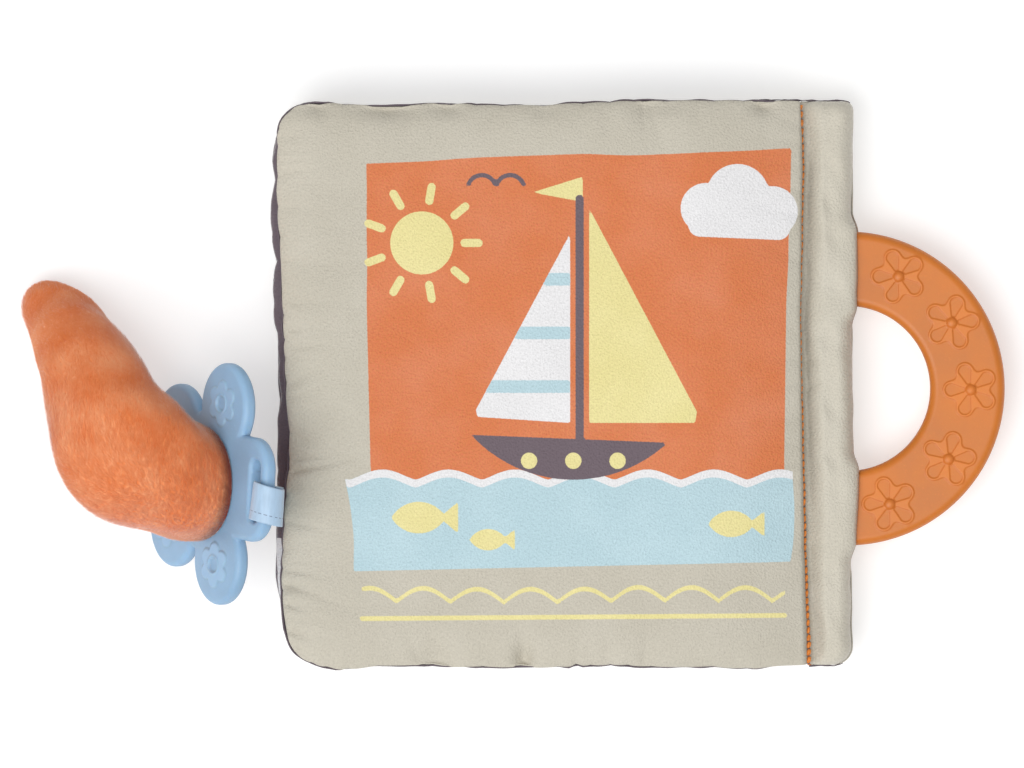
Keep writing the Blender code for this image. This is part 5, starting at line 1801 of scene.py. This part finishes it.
def nap_direction(roots, normals, ahead):
    """The way the pile is brushed: towards the tip, swinging in broad patches."""
    swing = NAP_SWING * patchy(roots, NAP_PATCH, SEEDS["nap"])[:, None]
    flow = along_skin(ahead, normals)
    return unit(flow * np.cos(swing) + np.cross(normals, flow) * np.sin(swing))


def build_stem(hub):
    """The plush neck in the flower's hole and the button behind it."""
    neck = PLATE_HOLE - NECK_GAP
    back = -PLATE_HALF - BUTTON_GAP
    end = back - BUTTON_THICKNESS
    top = PLATE_HALF + PLUG_RISE
    profile = [(PLUG_TIP, top), (PLUG_RADIUS, top), (PLUG_RADIUS, PLATE_HALF)]
    profile += [(neck, PLATE_HALF), (neck, back)]
    rounds = [(1 - math.sin(t), 1 - math.cos(t)) for t in np.linspace(0, math.pi / 2, BUTTON_RIM_STEPS)]
    profile += [(BUTTON_RADIUS - BUTTON_RIM * a, back - BUTTON_RIM * b) for a, b in rounds]
    profile += [(BUTTON_RADIUS - BUTTON_RIM * b, end + BUTTON_RIM * a) for a, b in rounds]
    profile += [(BUTTON_RADIUS * share, end - BUTTON_DISH * (1 - share**2)) for share in BUTTON_SHARES]
    rings = [[(*(radius * ray(turn)), z) for turn in once_round(STEM_SIDES)] for radius, z in profile]
    piece = tube_piece("plush_button", rings, plush_paint("button_plush", False))
    set_places(piece, points_of(piece))
    put(piece, hub)
    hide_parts("pod_stem")
    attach(piece, "pod")


# Camera, light and floor


def build_stage():
    """The camera straight above, soft studio light and a pale floor."""
    scene = bpy.context.scene
    scene.view_settings.view_transform = "Standard"
    camera = bpy.data.objects.new("camera", bpy.data.cameras.new("camera"))
    scene.collection.objects.link(camera)
    camera.data.lens = LENS
    camera.data.sensor_width = SENSOR
    middle_x = (PICTURE[0] / 2 - ORIGIN_PIXEL[0]) * PIXEL
    middle_y = (ORIGIN_PIXEL[1] - PICTURE[1] / 2) * PIXEL
    distance = PICTURE[0] * PIXEL / SENSOR * LENS
    camera.location = (middle_x, middle_y, FOCUS_LEVEL + distance)
    camera.data.clip_start, camera.data.clip_end = CLIP
    scene.camera = camera
    world = bpy.data.worlds.new("studio")
    world.use_nodes = True
    world.node_tree.nodes["Background"].inputs["Color"].default_value = WHITE
    world.node_tree.nodes["Background"].inputs["Strength"].default_value = WORLD_STRENGTH
    scene.world = world
    for lamp in LAMPS:
        add_lamp(*lamp)
    glow = {"emission_color": WHITE, "emission_strength": FLOOR_GLOW}
    paint = Paint("pale_floor", on_cloth=False, roughness=FLOOR_ROUGHNESS, **glow)
    grey = paint.mix(paint.noise(FLOOR_SPECKLE, 3), *FLOOR_GREYS)
    corners = [(FLOOR_HALF * x, FLOOR_HALF * y, 0) for x, y in ((-1, -1), (1, -1), (1, 1), (-1, 1))]
    floor = new_piece("floor", corners, [(0, 1, 2, 3)], paint.finish(base_color=grey))


def add_lamp(name, place, size, power):
    """A square soft light that looks at the book."""
    light = bpy.data.lights.new(name, "AREA")
    light.size = size
    light.energy = power
    lamp = bpy.data.objects.new(name, light)
    lamp.location = place
    lamp.rotation_euler = (-Vector(place)).to_track_quat("-Z", "Y").to_euler()
    bpy.context.scene.collection.objects.link(lamp)


def main():
    """Dress the book."""
    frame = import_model()
    build_stage()
    handle = handle_sizes()
    leaves = leaf_table(frame)
    front = leaves["front_cover"]
    # The strip and back cover take the lighter beige, with the strip's sheen painted in
    plain = cloth_paint("beige_cotton", BEIGE_PAINTED_SHEEN)
    plum = cloth_paint("plum_cotton", PLUM, sheen=PLUM_SHEEN)
    build_leaves(leaves, plain, plum)
    build_strip(front, handle, plain)
    build_strip_ends(front, plum)
    build_tabs(plum)
    build_stitching(front)
    build_handle(handle)
    build_plate(frame)
    build_ribbon(frame)
    build_pod(frame)


main()
